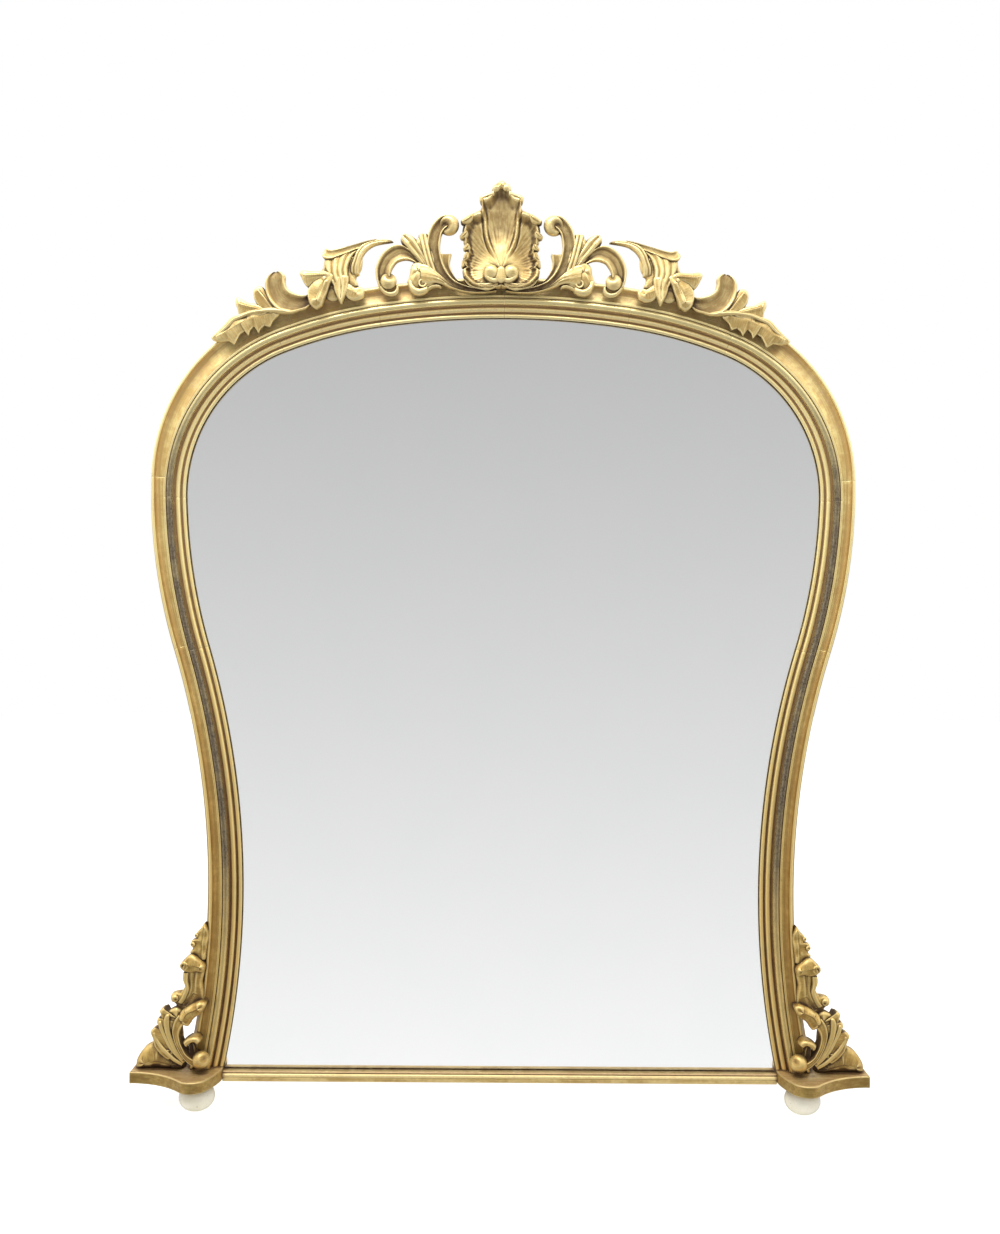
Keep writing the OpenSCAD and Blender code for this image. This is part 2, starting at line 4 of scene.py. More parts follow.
import bpy
import numpy as np
from mathutils import Euler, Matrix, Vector


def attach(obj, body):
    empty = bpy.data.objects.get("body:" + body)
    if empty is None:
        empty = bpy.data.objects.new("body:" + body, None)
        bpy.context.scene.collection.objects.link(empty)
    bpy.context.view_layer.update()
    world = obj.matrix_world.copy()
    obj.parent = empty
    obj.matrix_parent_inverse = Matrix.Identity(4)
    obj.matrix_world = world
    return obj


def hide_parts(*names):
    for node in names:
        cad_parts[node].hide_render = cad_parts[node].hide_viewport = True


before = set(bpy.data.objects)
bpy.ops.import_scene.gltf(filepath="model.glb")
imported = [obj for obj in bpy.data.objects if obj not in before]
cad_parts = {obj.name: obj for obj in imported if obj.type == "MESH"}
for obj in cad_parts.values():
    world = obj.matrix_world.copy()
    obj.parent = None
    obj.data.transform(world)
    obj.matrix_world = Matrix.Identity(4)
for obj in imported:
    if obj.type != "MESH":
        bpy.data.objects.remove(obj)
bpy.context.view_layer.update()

bl_info = {
    "name": "Pier mirror",
    "version": (1, 0, 0),
    "blender": (4, 5, 0),
    "location": "3D View > Sidebar > Pier mirror",
    "description": "Builds the visible pieces of an arched giltwood pier mirror",
    "category": "Add Mesh",
}

BODY = "mirror"
SIDES = ("left", "right")

# The pieces are drawn in millimetres; settings and the stage are in metres. Heights are
# measured forwards from the frame's back, which lies in the plane y = BACK_Y.
MM = 0.001
BACK_Y = 47.1071

# Paths of tangent arcs, each arc [radius, turn to the right in degrees]
SIGHT_TOP = 1354.5
RIM_TOP = 1419.5
SIGHT_ARCS = [[1470, 8.3], [742, 13.4], [265, 69.7], [991, 15], [1498, -33]]
RIM_ARCS = [[1430, 15.2], [309, 73.9], [962, 17.8], [1436, -31]]
PLINTH_ARCS = [[150, 18], [28, 107], [130, -45]]
SIGHT_NAMES = ["sight_crown", "sight_haunch", "sight_shoulder", "sight_belly", "sight_leg"]
FRAME_NAMES = ["frame_head", "frame_shoulder", "frame_belly", "frame_leg"]
SIGHT_SEAT = 34.05        # width that the sight moulding takes up on the ground frame
SIGHT_SEAT_H = 24.0       # height of the seat under the sight moulding
COVE_START = 14.0         # from the rim's outer edge to the cove's plain arc
COVE_RADIUS = 40.0
COVE_CENTRE_H = 74.0
GROOVE_WIDTH = 0.45       # of the hairline groove at a moulding's joint
CRACK_WIDTH = 0.5         # of the dirt in a groove

PLINTH_IN = 475.974       # from the centre line to the plinth's inner end
PLINTH_LENGTH = 154.0
PLINTH_TOP = 62.0
FOOT_HEIGHT = 42.0
FOOT_X, FOOT_H = 515.0, 52.0
RAIL_LOW = 38.0           # level of the bottom rail's underside

SILVER_LAP = 7.0          # how far the silvering goes out past the sight edge
SILVER_FOOT = 55.0
SILVER_BACK = 19.5
SILVER_FRONT = 19.96
SILVER_MIDDLE_Z = 700.0

FOCUS = (0.0, 1428.0)     # of the shell's ridges
BACK_STEP = 0.0004        # metres between the flat backs of overlapping skins
SMOOTH_ANGLE = 40         # degrees above which an edge is sharp
CARVED_ANGLE = 60
DISPLAY_GAMMA = 2.2
FLOOR_RADIUS = 9.0        # metres

# Place of the eye, and the height, for which the carving beside the legs was drawn
DRAWN_FROM = 2044.0
DRAWN_EYE = 835.0
DRAWN_AT = 50.0


# ---------------------------------------------------------------- settings

def colour_setting(name, description, default):
    return bpy.props.FloatVectorProperty(
        name=name, description=description, subtype="COLOR", default=default, min=0, max=1)


def share_setting(name, description, default, low=0, high=1):
    return bpy.props.FloatProperty(
        name=name, description=description, subtype="FACTOR", default=default, min=low, max=high)


def length_setting(name, description, default, low, high):
    return bpy.props.FloatProperty(
        name=name, description=description, unit="LENGTH", default=default, min=low, max=high,
        precision=4)


def power_setting(name, description, default):
    return bpy.props.FloatProperty(
        name=name, description=description, unit="POWER", default=default, min=0, max=500)


class GiltSettings(bpy.types.PropertyGroup):
    # Painted shade by height: the lower colours are darker, for the light that falls off towards the
    # base; the gilding mixes them into the upper ones by height.
    leaf: colour_setting("Leaf", "Clean gold leaf near the crest", (0.94, 0.73, 0.32))
    deep: colour_setting("Toned leaf", "Thin, toned leaf near the crest", (0.60, 0.40, 0.135))
    low_leaf: colour_setting("Lower leaf", "Deeper leaf near the base", (0.70, 0.48, 0.145))
    low_deep: colour_setting("Lower toned leaf", "Thin, toned leaf near the base",
                             (0.44, 0.265, 0.07))
    bole: colour_setting("Bole", "Pinkish clay that shows where the leaf is rubbed off",
                         (0.60, 0.34, 0.21))
    # One colour for specks of grime and for the painted shade in hollows, creases and closed-over
    # places.
    dirt: colour_setting("Dirt", "Brown dirt in the carving's hollows", (0.05, 0.021, 0.006))
    # Painted reflection: the burnished bead's dark grey on the legs stands for the bead mirroring dark
    # surroundings.
    burnished: colour_setting("Burnished leaf", "Greyer leaf on the burnished bead",
                              (0.23, 0.185, 0.12))
    wear: share_setting("Wear", "How much of the leaf is rubbed through", 0.4)
    metal: share_setting("Metal", "How metallic the leaf looks", 0.62)


class MouldingSettings(bpy.types.PropertyGroup):
    step: length_setting("Ring step", "Distance between rings along a moulding", 0.007, 0.002, 0.03)
    bead_r: length_setting("Burnished bead", "Radius of the burnished bead", 0.0053, 0.003, 0.0055)
    sight_r: length_setting("Sight bead", "Radius of the bead beside the glass", 0.0031, 0.002, 0.0032)
    joint: length_setting("Joint groove", "Depth of the hairline groove at each joint", 0.0004, 0, 0.001)


class CarvingSettings(bpy.types.PropertyGroup):
    relief: share_setting("Relief", "Scale of crowns, flutes and veins", 1.0, 0.3, 1.5)
    undercut: share_setting("Undercut", "Share of the width cut away behind each edge", 0.1, 0, 0.3)
    crest_shift: length_setting("Crest shift", "How far the crest sits left of the centre line",
                                0.006, 0, 0.012)


class BaseSettings(bpy.types.PropertyGroup):
    arris: length_setting("Plinth arris", "Radius of the plinths' worn edges", 0.0022, 0.0005, 0.004)
    glaze: colour_setting("Porcelain", "Colour of the bun feet", (0.95, 0.91, 0.77))


class PlateSettings(bpy.types.PropertyGroup):
    tint: colour_setting("Silver", "Colour of the silvering", (0.985, 0.985, 0.985))
    level: share_setting("Room grey", "Display grey of what the plate mirrors at eye level", 0.837)
    slope: share_setting("Room slope", "How fast the mirrored room darkens upwards", 0.406)


class StageSettings(bpy.types.PropertyGroup):
    distance: length_setting("Distance", "Camera's distance from the frame's back", 2.044, 1, 5)
    eye: length_setting("Eye height", "Camera's height above the feet", 0.839, 0.2, 2)
    aside: length_setting("Aside", "How far right of the centre line the camera stands",
                          -0.0043, -0.1, 0.1)
    roll: bpy.props.FloatProperty(
        name="Roll", description="Turn of the camera about its own axis", subtype="ANGLE",
        default=math.radians(-0.35), min=-0.1, max=0.1)
    lens: bpy.props.FloatProperty(
        name="Lens", description="Focal length on a 36 mm high sensor, in millimetres",
        default=34.15, min=10, max=200)
    key: power_setting("Key lamp", "Power of the overhead soft box", 44)
    fill: power_setting("Fill lamp", "Power of the front and back soft boxes", 14)


GROUPS = {
    "gilt": GiltSettings,
    "moulding": MouldingSettings,
    "carving": CarvingSettings,
    "base": BaseSettings,
    "plate": PlateSettings,
    "stage": StageSettings,
}


def settings(name):
    """The scene's own group of sizes or colours."""
    return getattr(bpy.context.scene, "pier_mirror_" + name)


# ---------------------------------------------------------------- curves

def full_turn(count):
    """Angles evenly round a circle."""
    return np.linspace(0, 2 * np.pi, count, endpoint=False)


def distances(p):
    """Distance from the first point of a line of points to each of them."""
    return np.concatenate([[0], np.cumsum(np.linalg.norm(np.diff(p, axis=0), axis=1))])


def hermite(points, u):
    """Smooth curve: each span is the cubic whose end slopes are those of the parabola
    through a point and its neighbours; u counts from the first point to the last."""
    p = np.asarray(points, float)
    t = distances(p)
    if len(p) > 2:
        m = np.gradient(p, t, axis=0)
    else:
        m = np.repeat((p[1:] - p[:1]) / t[1], 2, axis=0)
    x = u * t[-1]
    i = np.clip(np.searchsorted(t, x, "right") - 1, 0, len(p) - 2)
    d = (t[i + 1] - t[i])[:, None]
    w = (x - t[i])[:, None] / d
    return (p[i] * (2 * w**3 - 3 * w**2 + 1) + p[i + 1] * (3 * w**2 - 2 * w**3)
            + m[i] * d * (w**3 - 2 * w**2 + w) + m[i + 1] * d * (w**3 - w**2))


def even(curve, count):
    """The curve's points spaced evenly by length."""
    s = distances(curve)
    x = np.linspace(0, s[-1], count)
    return np.stack([np.interp(x, s, curve[:, k]) for k in range(curve.shape[1])], -1)


def spline(points, count):
    """Evenly spaced points of the smooth curve through the given ones."""
    if len(points) == 1:
        return np.repeat(np.asarray(points, float), count, axis=0)
    return even(hermite(points, np.linspace(0, 1, 12 * len(points))), count)


def closed_spline(points, count, crisp=0.0):
    """Evenly spaced points of a smooth closed curve; crisp mixes in the straight polygon."""
    p = np.asarray(points, float)
    n = len(p)
    wide = np.vstack([p[-3:], p, p[:4]])
    t = distances(wide)
    u = np.linspace(t[3], t[3 + n], 16 * n) / t[-1]
    smooth = hermite(wide, u)
    straight = np.stack([np.interp(u * t[-1], t, wide[:, k]) for k in range(2)], -1)
    return even(smooth * (1 - crisp) + straight * crisp, count + 1)[:-1]


def arc_points(cx, cy, r, start, end, count):
    """Points of a circle's arc; the angles are in degrees, anticlockwise from the x axis."""
    a = np.radians(np.linspace(start, end, count))
    return np.stack([cx + r * np.cos(a), cy + r * np.sin(a)], -1)


def arcs_of(start, heading, arcs):
    """Centre, bend, radius, first heading and turn of each arc of a path from a start."""
    out = []
    p = np.array(start)
    a = heading
    for radius, turn in arcs:
        bend = math.copysign(1, turn)
        c = p - bend * radius * np.array([math.sin(a), math.cos(a)])
        out.append((c, bend, radius, a, math.radians(turn)))
        a += math.radians(turn)
        p = c + bend * radius * np.array([math.sin(a), math.cos(a)])
    return out


def along_arc(arc, off, t, floor=None):
    """Points at the distances off outwards from an arc, at the shares t of its turn.
    A point is centre + bend (radius + bend off) (sin, cos) of the heading. With a floor,
    each line along the moulding ends where it comes down to that height."""
    c, bend, radius, first, turn = arc
    off = np.broadcast_to(off, (len(t), np.shape(off)[-1]))
    end = np.full(off.shape[1], first + turn)
    if floor is not None:
        end = np.arccos(np.clip((c[1] - floor) / (radius - off[-1]), -1, 1))
    a = first + (end - first) * t[:, None]
    r = bend * radius + off
    return c[0] + r * np.sin(a), c[1] + r * np.cos(a), a


def arc_line(arc, count, off=0.0):
    """Points of one line along an arc, at one distance outwards from it."""
    x, z, _ = along_arc(arc, np.full(1, off), np.linspace(0, 1, count))
    return np.hstack([x, z])


SIGHT = arcs_of((0.0, SIGHT_TOP), 0.0, SIGHT_ARCS)
RIM = arcs_of((0.0, RIM_TOP), 0.0, RIM_ARCS)
SIGHT_LINE = np.vstack([arc_line(arc, 1200) for arc in SIGHT])


def sight_distance(x, z, a):
    """Distance from rim points inwards along their normals to the sight edge."""
    dx = SIGHT_LINE[None, :, 0] - x[:, None]
    dz = SIGHT_LINE[None, :, 1] - z[:, None]
    along = dx * np.cos(a)[:, None] - dz * np.sin(a)[:, None]
    inwards = -dx * np.sin(a)[:, None] - dz * np.cos(a)[:, None]
    along = np.where((inwards > 20) & (inwards < 120), np.abs(along), 1e9)
    return inwards[np.arange(len(x)), np.argmin(along, axis=1)]


def place(x, z, h):
    """World metres of a point (x, z) of the picture plane at height h over the frame's back."""
    x, z, h = np.broadcast_arrays(x, z, h)
    return np.stack([x, BACK_Y - h, z], -1) * MM


def nearer(points, h):
    """Moves points drawn at the height DRAWN_AT to where the eye sees them at height h."""
    k = (DRAWN_FROM - h) / (DRAWN_FROM - DRAWN_AT)
    p = np.asarray(points, float)
    return np.stack([p[:, 0] * k, DRAWN_EYE + (p[:, 1] - DRAWN_EYE) * k], -1)


def bump(x, centre, width):
    """A bell curve of height 1."""
    return np.exp(-(((x - centre) / width) ** 2))


def ease(x, low, high):
    """Smooth step from 0 at low to 1 at high."""
    t = np.clip((x - low) / (high - low), 0, 1)
    return t * t * (3 - 2 * t)


# ---------------------------------------------------------------- meshes

def tube(p, loop=False, uv=None, **masks):
    """Closed skin over rings of points: p[i, j] is point j of ring i, each ring is closed,
    and the first and last rings are capped, or joined if it is a loop."""
    n, m = p.shape[:2]
    idx = np.arange(n * m).reshape(n, m)
    rows = np.vstack([idx, idx[:1]]) if loop else idx
    quads = np.stack([rows[:-1], np.roll(rows[:-1], -1, 1),
                      np.roll(rows[1:], -1, 1), rows[1:]], -1).reshape(-1, 4)
    caps = [] if loop else [idx[0, ::-1], idx[-1]]
    flat = p.reshape(-1, 3)
    tris = [quads[:, [0, 1, 2]], quads[:, [0, 2, 3]]]
    for cap in caps:
        tris.append(np.stack([np.full(m - 2, cap[0]), cap[1:-1], cap[2:]], -1))
    tri = np.vstack(tris)
    middle = flat.mean(axis=0)
    a, b, c = (flat[tri[:, k]] - middle for k in range(3))
    if np.einsum("ij,ij->", a, np.cross(b, c)) < 0:
        quads = quads[:, ::-1]
        caps = [cap[::-1] for cap in caps]
    if uv is None:
        u = np.linspace(0, 1, n)[:, None] * np.ones(m)
        uv = np.stack([u, np.ones(n)[:, None] * np.linspace(0, 1, m)], -1)
    out = {"v": flat, "f": quads.tolist() + [list(map(int, cap)) for cap in caps],
           "uv": np.asarray(uv).reshape(-1, 2), "masks": {}}
    sign = 1.0 if len(quads) and quads[0, 1] == idx[0, 1] else -1.0
    masks["bend"] = bend_of(p, loop) * sign
    for name, value in masks.items():
        out["masks"][name] = np.broadcast_to(value, (n, m)).reshape(-1)
    return out


def bend_of(p, loop):
    """How strongly the skin bends at each point, in bends per millimetre: the change of
    direction over the distance along both lines through it, positive on ridges."""
    ahead, behind = np.roll(p, -1, 0), np.roll(p, 1, 0)
    if not loop:
        ahead[-1], behind[0] = 2 * p[-1] - p[-2], 2 * p[0] - p[1]
    right, left = np.roll(p, -1, 1), np.roll(p, 1, 1)
    normal = np.cross(right - left, ahead - behind)
    normal /= np.maximum(np.linalg.norm(normal, axis=-1, keepdims=True), 1e-15)
    total = 0
    for a, b in ((ahead, behind), (right, left)):
        da = np.linalg.norm(a - p, axis=-1, keepdims=True)
        db = np.linalg.norm(b - p, axis=-1, keepdims=True)
        turn = (a - p) / np.maximum(da, 1e-9) + (b - p) / np.maximum(db, 1e-9)
        total = total - np.sum(turn * normal, axis=-1) * 2 / np.maximum((da + db)[..., 0], 1e-4)
    return np.clip(total * MM, -1, 1)


def mirrored(part):
    """The same skin on the other side of the centre plane, still facing outwards."""
    v = part["v"].copy()
    v[:, 0] *= -1
    return {"v": v, "f": [f[::-1] for f in part["f"]], "uv": part["uv"], "masks": part["masks"]}


def sided(part, side):
    """The skin as drawn, for the right side, or mirrored for the left."""
    return mirrored(part) if side == "left" else part


def shifted(part, dx):
    """The same skin moved sideways."""
    v = part["v"].copy()
    v[:, 0] += dx
    return {"v": v, "f": part["f"], "uv": part["uv"], "masks": part["masks"]}


def staggered(parts):
    """The same skins with their flat backs stepped forward a little from part to part, so
    that overlapping backs never lie in one plane."""
    for k, part in enumerate(parts):
        y = part["v"][:, 1]
        part["v"][:, 1] = np.where(y > y.max() - 1e-7, y - BACK_STEP * (k % 6), y)
    return parts


def make_piece(name, parts, material, nodes, angle=SMOOTH_ANGLE):
    """One object from several skins, which stands in for the nodes; its place is in its mesh."""
    mesh = bpy.data.meshes.new(name)
    base = np.cumsum([0] + [len(part["v"]) for part in parts])
    faces = []
    for start, part in zip(base, parts):
        faces.extend([[k + int(start) for k in f] for f in part["f"]])
    mesh.from_pydata(np.vstack([part["v"] for part in parts]), [], faces)
    uv = np.vstack([part["uv"] for part in parts])
    layer = mesh.uv_layers.new(name="UVMap")
    corner = np.empty(len(mesh.loops), dtype=np.int32)
    mesh.loops.foreach_get("vertex_index", corner)
    layer.data.foreach_set("uv", uv[corner].astype(np.float32).ravel())
    for mask in sorted({k for part in parts for k in part["masks"]}):
        values = np.concatenate([part["masks"].get(mask, np.zeros(len(part["v"])))
                                 for part in parts])
        attribute = mesh.attributes.new(mask, "FLOAT", "POINT")
        attribute.data.foreach_set("value", values.astype(np.float32))
    mesh.materials.append(material)
    mesh.polygons.foreach_set("use_smooth", np.ones(len(mesh.polygons), dtype=bool))
    mesh.set_sharp_from_angle(angle=math.radians(angle))
    mesh.validate()
    mesh.update()
    piece = bpy.data.objects.new(name, mesh)
    bpy.context.scene.collection.objects.link(piece)
    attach(piece, BODY)
    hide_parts(*nodes)


def make_gilt(node, part, material):
    """The gilded piece that stands in for one plain node."""
    make_piece(node + "_gilt", [part], material, [node])


def make_carved(node, parts, shift=0.0):
    """The carved and gilded piece that stands in for one node."""
    parts = staggered([shifted(part, shift) for part in parts])
    make_piece(node + "_carved", parts, gilt_material("carved_gilding", "carving"),
               [node], CARVED_ANGLE)


def carve_pairs(builders, shift=0.0):
    """The carved pieces of both sides, from the skins that each builder returns."""
    for side in SIDES:
        for name, build in builders.items():
            make_carved(name + "_" + side, [sided(part, side) for part in build()], shift)


# ---------------------------------------------------------------- carving tools

def swell(t, values):
    """Values along a piece, given at even steps and joined by straight lines."""
    v = np.atleast_1d(np.asarray(values, float))
    if len(v) == 1:
        return np.full(len(t), v[0])
    return np.interp(t, np.linspace(0, 1, len(v)), v)


def rounding(x, radius):
    """How far an edge rounded by a quarter circle falls off at the distance x from it."""
    return np.where(x < radius, radius - np.sqrt(np.maximum(radius**2 - (radius - x) ** 2, 0)), 0)


def ribbon(left, right, top, back=44.0, crown=0.0, section=None, edge=3.5, tip=(0, 0),
           rings=36, across=15):
    """Carved band between two edge curves. Across it, s runs from 0 to 1 and the height is
    top + crown (1 - (2s - 1)^2) + section(s, t), rounded off at the edges by a quarter
    circle; its back is flat and narrower. A tip rounds an end over that many millimetres."""
    cut = settings("carving").undercut
    relief = settings("carving").relief
    t = np.linspace(0, 1, rings)
    a = spline(left, rings)
    b = spline(right, rings)
    length = distances((a + b) / 2)
    width = np.maximum(np.linalg.norm(b - a, axis=1), 0.6)
    s = 0.5 - 0.5 * np.cos(np.pi * np.linspace(0, 1, across))
    shape = crown * (1 - (2 * s[None, :] - 1) ** 2) + np.zeros((rings, 1))
    if section is not None:
        shape = shape + section(s[None, :], t[:, None])
    e = np.minimum(edge, width / 2)[:, None]
    drop = rounding(np.minimum(s, 1 - s)[None, :] * width[:, None], e)
    low = swell(t, back)[:, None]
    front = swell(t, top)[:, None] + relief * shape - drop
    side = low + 0.45 * (front[:, [0, -1]] - low)
    fall = np.ones(rings)
    for r, d in ((tip[0], length), (tip[1], length[-1] - length)):
        if r > 0:
            fall *= np.sqrt(np.clip(1 - (1 - np.clip(d / r, 0.02, 1)) ** 2, 0, 1))
    share = np.concatenate([s, [1.0, 1 - cut, cut, 0.0]])
    h = np.hstack([front, side[:, 1:], low, low, side[:, :1]])
    h = low + (h - low) * (0.35 + 0.65 * fall[:, None])
    share = 0.5 + (share[None, :] - 0.5) * fall[:, None]
    q = a[:, None] + (b - a)[:, None] * share[..., None]
    # Painted shade where the section dips, through the hollow mask.
    hollow = np.clip(-np.hstack([shape, np.zeros((rings, 4))]) / 5, 0, 1)
    uv = np.stack([np.repeat(length[:, None], q.shape[1], 1) * MM,
                   share * width[:, None] * MM], -1)
    return tube(place(q[..., 0], q[..., 1], h), uv=uv, hollow=hollow)


def spine_of(outline, spine):
    """The nearest point of a spine to each point of an outline."""
    s = np.asarray(spine, float)
    if len(s) == 1:
        return np.repeat(s, len(outline), axis=0)
    best = None
    for a, b in zip(s[:-1], s[1:]):
        d = b - a
        w = np.clip(((outline - a) @ d) / (d @ d), 0, 1)[:, None]
        q = a + w * d
        r = np.linalg.norm(outline - q, axis=1)
        if best is None:
            best, near = r, q
        else:
            near = np.where((r < best)[:, None], q, near)
            best = np.minimum(r, best)
    return near


def lobe(outline, spine, top, back=44.0, dome=3.0, edge=3.0, veins=0, vein=0.8, groove=0.0,
         crisp=0.0, around=84):
    """Carved leaf between an outline and its spine. At the share rho of the way out, the
    height is top + dome (1 - rho^2), less a quarter circle at the edge, less radial veins
    and a groove on the spine."""
    cut = settings("carving").undercut
    relief = settings("carving").relief
    q = closed_spline(outline, around, crisp)
    s = spine_of(q, spine)
    reach = np.linalg.norm(q - s, axis=1)
    rho = np.array([1, 0.985, 0.96, 0.92, 0.87, 0.8, 0.7, 0.58, 0.46, 0.34, 0.22, 0.12, 0.05])
    e = np.minimum(edge, np.maximum(0.8 * reach, 0.4))[None, :]
    drop = rounding((1 - rho)[:, None] * reach[None, :], e)
    p = s[None] + rho[:, None, None] * (q - s)[None]
    shape = dome * (1 - rho[:, None] ** 2) - groove * bump(rho[:, None], 0, 0.16)
    if veins:
        turn = np.arange(around) / around
        wave = 0.5 + 0.5 * np.cos(2 * np.pi * veins * turn)
        shape = shape - vein * wave[None, :] * np.sin(np.pi * np.clip(rho, 0, 1))[:, None] ** 0.7
    h = top + relief * shape - drop
    low = np.full((1, around), float(back))
    inner = s[None] + (1 - cut) * (q - s)[None]
    side = low + 0.45 * (h[:1] - low)
    p = np.concatenate([inner, q[None], p])
    h = np.vstack([low, side, h])
    # Painted shade where the veins and groove dip, through the hollow mask.
    hollow = np.vstack([np.zeros((2, around)), np.clip(-shape / 3, 0, 1) * np.ones((1, around))])
    ahead = np.cumsum(np.linalg.norm(q - np.roll(q, 1, 0), axis=1))
    ahead = np.minimum(ahead, ahead[-1] - ahead)
    share = np.concatenate([[1.0, 1.0], rho])[:, None]
    uv = np.stack([share * reach[None], np.broadcast_to(ahead, p.shape[:2])], -1) * MM
    return tube(place(p[..., 0], p[..., 1], h), uv=uv, hollow=hollow)


def ball(x, z, h, r, squash=0.85, dimple=0.0, at=(0.0, 0.0), size=0.45):
    """Carved knob: rings of a flattened ball from its front to its back, with a round
    dimple pressed in beside the middle."""
    a = np.radians(np.linspace(3, 177, 22))[:, None]
    w = full_turn(36)[None, :]
    dx = np.sin(a) * np.cos(w)
    dz = np.sin(a) * np.sin(w)
    up = np.cos(a) * np.ones_like(w)
    press = dimple * np.exp(-((dx - at[0]) ** 2 + (dz - at[1]) ** 2) / size**2) * (up > 0)
    hh = h + r * squash * up - press
    uv = np.stack([dx * r, dz * r], -1) * MM
    # Painted shade in the dimple, through the hollow mask.
    return tube(place(x + r * dx, z + r * dz, hh), uv=uv, hollow=press / 6)


def channel(depth=3.0, lip=1.5, width=0.13, lines=0, line=0.4):
    """Section of a scroll: a hollow between two raised lips, with fine lines along it."""
    def section(s, t):
        h = -depth * np.sin(np.pi * s) ** 1.2
        h = h + lip * (bump(s, 0.07, width) + bump(s, 0.93, width))
        if lines:
            h = h + line * np.cos(2 * np.pi * lines * s) * np.sin(np.pi * s)
        return h
    return section


def fluted(count, depth=1.2, crown=0.0):
    """Section of a leaf stem: flutes side by side on a crowned back."""
    def section(s, t):
        return (crown * (1 - (2 * s - 1) ** 2)
                - depth * (0.5 + 0.5 * np.cos(2 * np.pi * count * s)))
    return section


def midrib(depth=1.5, width=0.08, at=0.5):
    """Section of a leaf: one groove along it."""
    def section(s, t):
        return -depth * bump(s, at, width)
    return section


# ---------------------------------------------------------------- shader trees

class Term:
    """A number, vector or colour in a shader tree. Sums, differences and products of terms
    become Math nodes."""

    def __init__(self, tree, socket):
        self.tree = tree
        self.socket = socket

    def __add__(self, other):
        return calc("ADD", self, other)

    def __radd__(self, other):
        return calc("ADD", other, self)

    def __sub__(self, other):
        return calc("SUBTRACT", self, other)

    def __rsub__(self, other):
        return calc("SUBTRACT", other, self)

    def __mul__(self, other):
        return calc("MULTIPLY", self, other)

    def clamped(self):
        """The result of a Math node, kept between 0 and 1."""
        self.socket.node.use_clamp = True
        return self


def fill(tree, node, values):
    """Fills a node's inputs, by name or number, from terms, sockets, colours or numbers."""
    for key, value in values.items():
        socket = node.inputs[key]
        if isinstance(value, Term):
            value = value.socket
        if isinstance(value, bpy.types.NodeSocket):
            tree.links.new(value, socket)
        elif socket.type == "RGBA":
            socket.default_value = tuple(value)[:3] + (1.0,)
        else:
            socket.default_value = value
    return node


def add_node(tree, kind, **values):
    """A shader node with its inputs filled in by name."""
    return fill(tree, tree.nodes.new("ShaderNode" + kind), values)


def calc(kind, a, b=0.0):
    """A Math node over two numbers, one of them or both a term."""
    tree = a.tree if isinstance(a, Term) else b.tree
    node = tree.nodes.new("ShaderNodeMath")
    node.operation = kind
    return Term(tree, fill(tree, node, {0: a, 1: b}).outputs[0])


def mix_colour(share, a, b):
    """Colour a, mixed towards b by a share."""
    node = share.tree.nodes.new("ShaderNodeMix")
    node.data_type = "RGBA"
    return Term(share.tree, fill(share.tree, node, {0: share, 6: a, 7: b}).outputs[2])


def step(value, low, high, a=0.0, b=1.0):
    """Smooth step of a value from a at low to b at high."""
    node = value.tree.nodes.new("ShaderNodeMapRange")
    node.interpolation_type = "SMOOTHSTEP"
    fill(value.tree, node,
         {"Value": value, "From Min": low, "From Max": high, "To Min": a, "To Max": b})
    return Term(value.tree, node.outputs["Result"])


def noise(spot, scale, detail=4.0, rough=0.55, warp=0.0):
    node = add_node(spot.tree, "TexNoise", Vector=spot, Scale=scale, Detail=detail,
                    Roughness=rough, Distortion=warp)
    return Term(spot.tree, node.outputs[0])


def scaled(vector, factors, shift=(0, 0, 0)):
    """A vector stretched by three factors and moved."""
    node = add_node(vector.tree, "Mapping", Vector=vector, Scale=factors, Location=shift)
    return Term(vector.tree, node.outputs["Vector"])


def axis(vector, name):
    """One coordinate of a vector."""
    return Term(vector.tree, add_node(vector.tree, "SeparateXYZ", Vector=vector).outputs[name])


def made_by(tree, kind, output):
    """The output of a node that needs no inputs."""
    return Term(tree, add_node(tree, kind).outputs[output])


def mask(tree, name):
    """A mask that the piece carries at its points."""
    node = add_node(tree, "Attribute")
    node.attribute_name = name
    return Term(tree, node.outputs["Fac"])


def openness(tree, distance):
    """Share of open sky over a point, for the painted shade, with some grime, that darkens hollows."""
    node = add_node(tree, "AmbientOcclusion", Distance=distance)
    node.samples = 8
    return Term(tree, node.outputs["AO"])


def set_bump(shader, height, strength, distance):
    node = add_node(height.tree, "Bump", Height=height, Strength=strength, Distance=distance)
    fill(height.tree, shader, {"Normal": node.outputs[0]})


def shared_group(name, build, **inputs):
    """A shader group, made once. An input without a default is a vector, one with several
    numbers a colour, any other a number. Build takes the inputs and returns the outputs."""
    if name in bpy.data.node_groups:
        return bpy.data.node_groups[name]
    group = bpy.data.node_groups.new(name, "ShaderNodeTree")
    for label, value in inputs.items():
        kind = "Vector" if value is None else "Color" if isinstance(value, tuple) else "Float"
        socket = group.interface.new_socket(label, in_out="INPUT", socket_type="NodeSocket" + kind)
        if value is not None:
            socket.default_value = value
    given = group.nodes.new("NodeGroupInput").outputs
    made = build({item.name: Term(group, item) for item in given if item.name})
    for label in made:
        kind = "Color" if label == "Color" else "Float"
        group.interface.new_socket(label, in_out="OUTPUT", socket_type="NodeSocket" + kind)
    fill(group, group.nodes.new("NodeGroupOutput"), made)
    return group


def use_group(tree, group, **values):
    """Adds a group to a material and returns its outputs by name."""
    node = tree.nodes.new("ShaderNodeGroup")
    node.node_tree = group
    return {item.name: Term(tree, item) for item in fill(tree, node, values).outputs}


